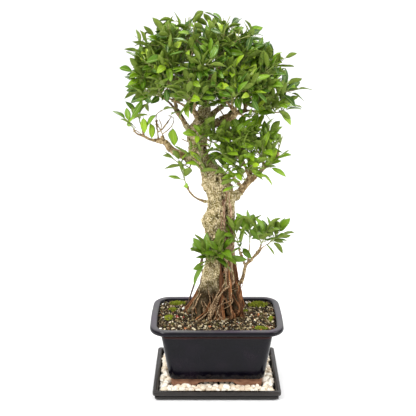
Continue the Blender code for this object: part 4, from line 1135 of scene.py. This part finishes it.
free_root = hung((
    (0.001, 0.002, 0.001, 0.0024), (0.006, 0.004, 0.033, 0.0022), (0.013, 0.005, 0.066, 0.0019),
    (0.022, 0.010, 0.094, 0.0018), (0.030, 0.017, 0.122, 0.0017),
))
free_root.append((hanging_low.x + 0.0015, hanging_high.y - 0.0015, soil_top - 0.001, 0.0018))
forked_root = hung((
    (0.004, 0.002, 0.026, 0.0013), (0.006, 0.001, 0.060, 0.0011), (0.003, -0.001, 0.086, 0.0011),
    (0.008, -0.004, 0.112, 0.0010),
))
forked_root.append((hanging_high.x - 0.014, hanging_low.y - 0.008, soil_top - 0.001, 0.0010))
hanging_bark = clouded_finish("hanging_root_bark", 0.5, 300.0, 5.0, [
    (0.36, tint(58, 42, 34)), (0.62, tint(118, 96, 80)),
], (0.65, 0.90), 0.0005, 0.6)
piece("hanging_roots", rods([flowing(free_root, 6), flowing(forked_root, 6)], 3, 0.0003),
      [hanging_bark], ["aerial_root"], 60)

# ---- Leafy shoots ---------------------------------------------------------------------------
# Each shoot is a thin green stem with side shoots, and carries leathery oval leaves in a spiral
# that close up into a rosette at its tip. It grows from the twig where the frame's shoot does.
BLADE_SHARES = (0.0, 0.07, 0.18, 0.32, 0.47, 0.62, 0.76, 0.87, 0.95, 1.0)
BLADE_WIDTHS = (0.05, 0.34, 0.70, 0.92, 1.00, 0.94, 0.74, 0.46, 0.18, 0.02)
BLADE_SIDES = (-1.0, -0.55, 0.0, 0.55, 1.0)
BLADE_THICKNESS = 0.0004
LEAF_LENGTH = 0.0345
LEAF_WIDTH = 0.0138
GOLDEN_TURN = 137.5
FIRST_LEAF = 0.35
STEM_STEPS = 8

dice = random.Random(41)

leaf_green, leaf_shader = finish_of("fig_leaf", 0.40, 0.40)
leaf_tone = graded(leaf_green, island_pick(leaf_green), [
    (0.0, tint(43, 76, 3)), (0.25, tint(67, 106, 6)), (0.50, tint(93, 133, 12)), (0.72, tint(117, 154, 19)),
    (0.88, tint(143, 175, 32)), (1.0, tint(172, 195, 53)),
])
blade_map = leaf_green.node_tree.nodes.new("ShaderNodeUVMap")
blade_map.uv_map = "blade"
blade_axes = axes_of(leaf_green, blade_map.outputs["UV"])
from_rib = reckoned(leaf_green, "ABSOLUTE", reckoned(leaf_green, "SUBTRACT", blade_axes["X"], 0.5))
rib = spread(leaf_green, from_rib, 0.05, 0.02)
vein_place = reckoned(leaf_green, "MULTIPLY_ADD", from_rib, -0.55, blade_axes["Y"])
vein = spread(leaf_green, reckoned(leaf_green, "PINGPONG", vein_place, 0.05), 0.040, 0.050)
leaf_cloud = cloudy(leaf_green, place_on(leaf_green), 190.0, 3.0)
leaf_height = axes_of(leaf_green, place_on(leaf_green))["Z"]
leaf_shaded = overlaid(leaf_green, leaf_tone, tint(58, 94, 6), leaf_cloud, 0.35, 0.70, 0.35)
leaf_veined = overlaid(leaf_green, leaf_shaded, tint(150, 176, 84), vein, 0.0, 1.0, 0.22)
leaf_ribbed = overlaid(leaf_green, leaf_veined, tint(176, 192, 112), rib, 0.0, 1.0, 0.65)
# Leaves high in the crown are painted lighter and those low down darker: painted light from above, and
# painted shade under the crown.
leaf_top_painted_light = overlaid(leaf_green, leaf_ribbed, tint(156, 194, 40), leaf_height,
                      soil_top + 0.42, soil_top + 0.37, 0.50)
leaf_low_painted_shade = overlaid(leaf_green, leaf_top_painted_light, tint(44, 78, 14), leaf_height,
                     soil_top + 0.24, soil_top + 0.18, 0.52)
coloured(leaf_green, leaf_shader, leaf_low_painted_shade, spread(leaf_green, leaf_cloud, 0.3, 0.7, 0.26, 0.42))
embossed(leaf_green, leaf_shader, mixed(leaf_green, 1.0, rib, vein, "ADD"), 0.0003, 0.35)

leaf_pale = clouded_finish("leaf_underside", 0.25, 240.0, 3.0, [
    (0.3, tint(96, 119, 38)), (0.7, tint(126, 144, 57)),
], (0.5, 0.7), 0.0002, 0.4)
green_stem = clouded_finish("green_stem", 0.5, 220.0, 3.0, [
    (0.3, tint(122, 132, 62)), (0.7, tint(158, 164, 94)),
], (0.4, 0.6), 0.0003, 0.4)


class Sprig:
    """The corners and faces of one leafy piece while it grows."""

    def __init__(self):
        self.points = []
        self.faces = []
        self.finish = []
        self.blade = []

    def rod(self, line, sides=6):
        """A round tapering stem along a line of x, y, z and radius, closed at both ends."""
        first = len(self.points)
        ahead = (line[1].xyz - line[0].xyz).normalized()
        across = ahead.orthogonal().normalized()
        for i, station in enumerate(line):
            ahead = (line[min(i + 1, len(line) - 1)].xyz - line[max(i - 1, 0)].xyz).normalized()
            across = (across - ahead * across.dot(ahead)).normalized()
            other = ahead.cross(across)
            for side in range(sides):
                turn = 2 * math.pi * side / sides
                outward = across * math.cos(turn) + other * math.sin(turn)
                self.points.append(station.xyz + station[3] * outward)
        for i in range(len(line) - 1):
            for side in range(sides):
                here = first + i * sides + side
                there = first + i * sides + (side + 1) % sides
                self.add([here, there, there + sides, here + sides], 2)
        self.add([first + side for side in reversed(range(sides))], 2)
        self.add([first + (len(line) - 1) * sides + side for side in range(sides)], 2)

    def add(self, face, finish, blade=None):
        """Keeps a face with its finish and, on a blade, where its corners lie along and across it."""
        self.faces.append(face)
        self.finish.append(finish)
        self.blade.append(blade or [(0.5, 0.5)] * len(face))

    def leaf(self, start, aim, roll, length, width, stalk, fold, droop, twist):
        """A stalk and a folded blade, green above and paler below, from a point on a stem."""
        aim = aim.normalized()
        across = Vector((0, 0, 1)).cross(aim)
        if across.length < 0.05:
            across = Vector((0, 1, 0))
        across.normalize()
        upward = aim.cross(across)
        pose = Matrix((aim, across, upward)).transposed() @ Matrix.Rotation(roll, 3, "X")
        foot = start + aim * stalk
        halfway = start + aim * 0.5 * stalk
        inside_blade = foot + aim * 0.08 * length
        self.rod([Vector((*start, 0.0008)), Vector((*halfway, 0.0006)), Vector((*inside_blade, 0.0005))], 4)
        top = []
        under = []
        last = len(BLADE_SHARES) - 1
        for row, (share, span) in enumerate(zip(BLADE_SHARES, BLADE_WIDTHS)):
            top_row = []
            under_row = []
            for side in BLADE_SIDES:
                half = 0.5 * width * span
                lift = fold * abs(side) * half - 0.30 * fold * side * side * half
                wave = 0.05 * width * math.sin(9 * share + 4 * roll) * side * side
                tip = droop * length * share ** 2
                turn = twist * share * side * half
                along = share * length * (1 - 0.12 * droop * share)
                spot = Vector((along, side * half, lift + wave - tip + turn))
                top_row.append(len(self.points))
                self.points.append(foot + pose @ spot)
                if abs(side) == 1.0 or row in (0, last):
                    under_row.append(top_row[-1])
                else:
                    under_row.append(len(self.points))
                    self.points.append(foot + pose @ (spot - Vector((0, 0, BLADE_THICKNESS))))
            top.append(top_row)
            under.append(under_row)
        for row in range(last):
            for side in range(len(BLADE_SIDES) - 1):
                spots = [(row, side), (row + 1, side), (row + 1, side + 1), (row, side + 1)]
                blade = [((BLADE_SIDES[b] + 1) / 2, BLADE_SHARES[a]) for a, b in spots]
                self.add([top[a][b] for a, b in spots], 0, blade)
                self.add([under[a][b] for a, b in reversed(spots)], 1, blade[::-1])

    def mesh(self):
        """The finished mesh, with its three finishes and the map that its veins follow."""
        made = bpy.data.meshes.new("sprig")
        made.from_pydata(self.points, [], self.faces)
        for material in (leaf_green, leaf_pale, green_stem):
            made.materials.append(material)
        made.polygons.foreach_set("material_index", self.finish)
        layer = made.uv_layers.new(name="blade")
        layer.uv.foreach_set("vector", [number for face in self.blade for pair in face for number in pair])
        made.update()
        return made


crown_low = Vector((1, 1, 1))
crown_high = Vector((-1, -1, -1))
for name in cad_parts:
    if name.startswith("shoot_crown"):
        low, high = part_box(name)
        crown_low = Vector(map(min, crown_low, low))
        crown_high = Vector(map(max, crown_high, high))
crown_middle = (crown_low + crown_high) / 2
crown_half = (crown_high - crown_low) / 2


def in_crown(tip):
    """True inside the crown's clipped dome, which is flatter below. A few leaves stand out over it."""
    across, deep, up = [(a - b) / c for a, b, c in zip(tip, crown_middle, crown_half)]
    away = abs(across + 0.06) ** 2.2 + deep ** 2 + abs(up) ** (2 if up > 0 else 5)
    return away < dice.choice((0.96, 0.96, 1.02, 1.10, 1.30))


def in_lower_tier(tip):
    """True inside the reach of the lower right limb's foliage."""
    return tip.x < 0.118 + dice.uniform(0.0, 0.010) and tip.z < soil_top + 0.366 + dice.uniform(0.0, 0.014)


def anywhere(tip):
    """Lets a leaf grow wherever it comes."""
    return True


def leafy(sprig, line, count, spin, size, inside):
    """Sets leaves in a spiral along a stem, wide open low down and closing towards its tip."""
    axis = (line[-1].xyz - line[0].xyz).normalized()
    side_a = axis.orthogonal().normalized()
    side_b = axis.cross(side_a)
    for i in range(count):
        share = FIRST_LEAF + (1 - FIRST_LEAF) * i / max(count - 1, 1)
        spot = line[min(int(share * (len(line) - 1)), len(line) - 1)].xyz
        around = spin + math.radians(GOLDEN_TURN * i) + dice.uniform(-0.4, 0.4)
        opening = math.radians(82 - 54 * (i + 1) / count) + dice.uniform(-0.25, 0.25)
        outward = side_a * math.cos(around) + side_b * math.sin(around)
        aim = axis * math.cos(opening) + outward * math.sin(opening) + Vector((0, 0, 0.20))
        grown = size * (0.66 + 0.38 * math.sin(math.pi * (0.25 + 0.6 * i / count))) * dice.uniform(0.80, 1.12)
        length = LEAF_LENGTH * grown
        stalk = dice.uniform(0.004, 0.008)
        if not inside(spot + aim.normalized() * (length + stalk)):
            continue
        sprig.leaf(spot, aim, dice.uniform(-1.3, 1.3), length, LEAF_WIDTH * grown * dice.uniform(0.80, 1.15),
                   stalk, dice.uniform(0.20, 0.95), dice.uniform(-0.10, 0.36), dice.uniform(-0.8, 0.8))


def bowed(start, way, length, radius):
    """A slightly curved stem line from a point."""
    sway = Vector((dice.uniform(-1, 1), dice.uniform(-1, 1), dice.uniform(-0.2, 1.0))) * 0.24
    line = []
    for step in range(STEM_STEPS + 1):
        share = step / STEM_STEPS
        spot = start + (way * share + sway * share ** 2) * length
        line.append(Vector((*spot, radius * (1 - 0.45 * share))))
    return line


wood_points = np.vstack([places_of(limb_mesh)[::3], places_of(trunk_mesh)[::6]])


def shoot_root(node):
    """Where a frame shoot leaves the wood, and which way it grows."""
    corners = places_of(node.data)
    sample = corners[:: max(len(corners) // 160, 1)]
    gaps = ((sample[:, None, :] - wood_points[None, :, :]) ** 2).sum(2).min(1)
    base = sample[gaps.argmin()]
    middle = (corners.min(0) + corners.max(0)) / 2
    return Vector(base.tolist()), Vector((middle - base).tolist()).normalized()


def spray(sprig, base, way, length, leaves, sides, side_leaves, size, inside=anywhere):
    """One leafy shoot with side shoots, added to a sprig."""
    line = bowed(base - way * 0.002, way, length, 0.0012)
    sprig.rod(line)
    leafy(sprig, line, leaves, dice.uniform(0, 6), size, inside)
    across = way.orthogonal().normalized()
    other = way.cross(across)
    spin = dice.uniform(0, 6)
    for i in range(sides):
        around = spin + 2 * math.pi * i / sides
        outward = across * math.cos(around) + other * math.sin(around)
        out = way * 0.62 + outward * 0.78 + Vector((0, 0, 0.12))
        side_line = bowed(line[1 + i % 5].xyz, out.normalized(), length * dice.uniform(0.60, 0.95), 0.0009)
        sprig.rod(side_line)
        leafy(sprig, side_line, side_leaves, dice.uniform(0, 6), size, inside)


# For each kind of shoot: length, leaves, side shoots, leaves on each of these, size, and its reach.
SPRAY_KINDS = (
    ("shoot_crown", 0.034, 7, 4, 5, 0.96, in_crown),
    ("shoot_lower_right", 0.028, 6, 2, 4, 0.95, in_lower_tier),
    ("shoot_left", 0.020, 4, 0, 0, 0.85, anywhere),
    ("shoot_lower_left", 0.026, 6, 0, 0, 0.80, anywhere),
    ("shoot_low_right", 0.028, 8, 2, 3, 1.08, anywhere),
    ("shoot_low_centre", 0.034, 10, 3, 3, 1.12, anywhere),
)
for name in sorted(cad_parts):
    for start, length, leaves, sides, side_leaves, size, inside in SPRAY_KINDS:
        if name.startswith(start):
            sprig = Sprig()
            base, way = shoot_root(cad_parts[name])
            spray(sprig, base, way, length, leaves, sides, side_leaves, size, inside)
            piece(name.replace("shoot", "leaves"), sprig.mesh(), [], [name], 180)

# ---- Inner crown ----------------------------------------------------------------------------
# Younger leafy shoots fill the crown between the main ones. They grow on short brown twigs from
# the limbs, thinly on the shaded underside, and a last few close the crown's top.
INNER_SHOOTS = 58
TOP_SHOOTS = 14

limb_skin = skin_of(limb_mesh)
inner_wood = []
inner = Sprig()
for i in range(INNER_SHOOTS):
    low_down = i < INNER_SHOOTS - TOP_SHOOTS
    azimuth = math.radians(GOLDEN_TURN * i + dice.uniform(-20, 20))
    rise = dice.uniform(-0.50, 0.75) if low_down else dice.uniform(0.80, 0.98)
    reach = dice.uniform(0.40, 0.74) if low_down else dice.uniform(0.70, 0.82)
    flat = math.sqrt(1 - rise * rise)
    way = Vector((flat * math.cos(azimuth), flat * math.sin(azimuth), rise))
    tip = crown_middle + Vector([a * b * reach for a, b in zip(way, crown_half)])
    root = limb_skin.find_nearest(tip)[0]
    wander = Vector((dice.uniform(-1, 1), dice.uniform(-1, 1), dice.uniform(-1, 1)))
    middle = root.lerp(tip, 0.5) + wander * 0.006
    inner_wood.append(flowing([(*root, 0.0017), (*middle, 0.0014), (*tip, 0.0011)], 6))
    aim = (way + Vector((0, -0.15, 0.5))).normalized()
    spray(inner, tip, aim, 0.026, 5, 2, 4, 0.85, in_crown)
piece("inner_leaves", inner.mesh(), [], (), 180)
piece("inner_twigs", rods(inner_wood, 1, 0.0004), [twig_bark], (), 60)

# ---- Side shoots ----------------------------------------------------------------------------
# Short leafy shoots that hug the trunk, fill the lower right tier and skirt the crown. Each grows
# on a thin twig from the nearest wood and ends at its own point above the soil.
# Across and back from the trunk's middle, height above the soil, leaves, and side shoots of each.
SIDE_SHOOTS = (
    (0.000, -0.026, 0.350, 4, 1), (0.024, -0.034, 0.338, 5, 2), (0.048, -0.034, 0.330, 5, 2),
    (0.066, -0.028, 0.350, 5, 2), (0.090, -0.020, 0.340, 5, 1), (0.036, -0.028, 0.304, 4, 1),
    (0.030, 0.020, 0.345, 5, 2), (0.080, 0.020, 0.330, 5, 2), (-0.046, -0.022, 0.318, 3, 0),
    (-0.020, -0.026, 0.286, 2, 0), (-0.052, -0.004, 0.296, 3, 0), (-0.064, -0.006, 0.300, 3, 0),
    (0.056, -0.040, 0.302, 4, 1), (0.092, -0.034, 0.304, 4, 1), (0.004, -0.030, 0.412, 4, 1),
    (-0.034, -0.034, 0.410, 3, 1), (0.040, -0.036, 0.408, 4, 1), (0.090, -0.020, 0.406, 4, 1),
    (0.064, -0.030, 0.424, 4, 1), (0.108, -0.016, 0.432, 4, 2), (-0.104, -0.014, 0.440, 4, 2),
    (-0.076, -0.030, 0.432, 4, 1), (0.020, 0.040, 0.412, 4, 2), (-0.050, 0.040, 0.412, 4, 2),
    (0.080, 0.030, 0.416, 4, 2), (0.016, -0.026, 0.318, 3, 0), (0.022, -0.032, 0.324, 4, 1),
    (0.070, -0.030, 0.316, 4, 1), (0.044, -0.038, 0.350, 5, 1), (-0.112, -0.004, 0.452, 4, 2),
    (-0.122, 0.010, 0.478, 4, 2), (-0.126, -0.010, 0.500, 4, 2), (-0.098, -0.020, 0.520, 4, 2),
    (-0.006, -0.034, 0.360, 5, 1), (0.014, -0.036, 0.352, 5, 2), (0.004, -0.036, 0.328, 4, 1),
    (0.030, -0.038, 0.362, 4, 1), (-0.020, -0.030, 0.298, 3, 0), (-0.010, -0.040, 0.422, 5, 2),
    (0.030, -0.044, 0.416, 5, 2), (0.058, -0.040, 0.398, 4, 1), (-0.050, -0.040, 0.432, 5, 2),
    (0.100, -0.024, 0.412, 4, 2), (0.118, 0.0, 0.400, 4, 1), (-0.028, -0.036, 0.366, 4, 1),
    (-0.038, -0.034, 0.342, 4, 0), (-0.030, -0.034, 0.318, 3, 0), (-0.014, -0.036, 0.342, 4, 1),
    (0.042, -0.020, 0.264, 2, 0), (0.052, -0.026, 0.278, 2, 1), (0.066, -0.020, 0.286, 3, 0),
    (0.082, -0.022, 0.294, 2, 1), (0.100, -0.014, 0.304, 3, 0), (0.060, 0.010, 0.282, 2, 1),
    (0.086, 0.010, 0.300, 3, 0), (0.046, -0.030, 0.290, 3, 0), (0.106, -0.006, 0.322, 3, 1),
)
side_leaves = Sprig()
side_wood = []
wood_all = skin_of(trunk_mesh, limb_mesh)
for x, y, height, leaves, twigs in SIDE_SHOOTS:
    tip = Vector((x, y + trunk_axis.y, soil_top + height))
    root = wood_all.find_nearest(tip)[0]
    wander = Vector((dice.uniform(-1, 1), dice.uniform(-1, 1), dice.uniform(-1, 0)))
    middle = root.lerp(tip, 0.5) + wander * 0.003
    side_wood.append(flowing([(*root, 0.0015), (*middle, 0.0012), (*tip, 0.0010)], 5))
    aim = ((tip - root).normalized() * 0.6 + Vector((0, -0.1, 0.7))).normalized()
    spray(side_leaves, tip, aim, 0.022, leaves, twigs, 3, 0.92)
piece("side_leaves", side_leaves.mesh(), [], (), 180)

# Bare fine twigs, most of them at the end of the left branch. Each row runs from the wood outwards.
BARE_TWIGS = (
    ((-0.098, 0.0, 0.352), (-0.104, -0.004, 0.366), (-0.112, -0.006, 0.384), (-0.110, -0.006, 0.398),
     (-0.100, -0.004, 0.404)),
    ((-0.101, -0.002, 0.360), (-0.092, -0.002, 0.366), (-0.083, 0.0, 0.376), (-0.080, 0.002, 0.388),
     (-0.090, 0.002, 0.394)),
    ((-0.134, -0.008, 0.355), (-0.141, -0.010, 0.362), (-0.150, -0.010, 0.368), (-0.154, -0.012, 0.366)),
    ((-0.104, -0.004, 0.366), (-0.103, -0.006, 0.378), (-0.107, -0.006, 0.388)),
    ((-0.048, -0.006, 0.344), (-0.058, -0.008, 0.348), (-0.066, -0.008, 0.352)),
    ((0.092, 0.0, 0.428), (0.118, -0.002, 0.436), (0.140, -0.004, 0.441)),
    ((0.086, 0.0, 0.402), (0.106, -0.004, 0.400), (0.122, -0.006, 0.404)),
)
for stations in BARE_TWIGS:
    side_wood.append(flowing([(x, y + trunk_axis.y, soil_top + height, 0.0011 - 0.00012 * i)
                              for i, (x, y, height) in enumerate(stations)], 5))
piece("fine_twigs", rods(side_wood, 1, 0.0003), [twig_bark], (), 60)

# Single leaves: a pale heart-shaped one that hangs under the left branch, small ones at the ends
# of the bare twigs, and a long narrow one on the trunk's left side.
TWIG_LEAVES = (
    (-0.108, 0.400, (-0.6, -0.3, -0.5)), (-0.122, 0.396, (-0.9, -0.2, 0.0)),
    (-0.140, 0.398, (-0.8, -0.3, -0.4)), (-0.136, 0.396, (0.1, -0.4, -0.9)),
    (-0.150, 0.372, (-0.6, 0.1, 0.5)), (-0.088, 0.394, (0.4, -0.3, 0.3)),
    (-0.104, 0.404, (0.5, -0.2, 0.2)), (-0.124, 0.386, (0.2, -0.4, -0.8)),
    (0.139, 0.441, (1.0, -0.1, 0.25)), (0.130, 0.438, (0.9, -0.4, -0.25)),
    (0.121, 0.404, (1.0, -0.1, 0.30)), (0.112, 0.402, (0.7, -0.3, -0.50)),
)
hanging = Sprig()
hanging.leaf(Vector((-0.083, trunk_axis.y - 0.004, soil_top + 0.376)), Vector((0.10, -0.15, -1.0)), 1.3,
             0.032, 0.026, 0.006, 0.10, 0.05, 0.2)
for x, height, aim in TWIG_LEAVES:
    hanging.leaf(Vector((x, trunk_axis.y - 0.006, soil_top + height)), Vector(aim), dice.uniform(-0.6, 0.6),
                 0.028, 0.013, 0.006, 0.5, 0.25, 0.3)
hanging.leaf(on_bark(math.radians(-130), 0.128, -0.001), Vector((-0.85, -0.5, 0.42)), 0.5,
             0.040, 0.014, 0.010, 0.6, 0.12, 0.2)
piece("hanging_leaves", hanging.mesh(), [], (), 180)
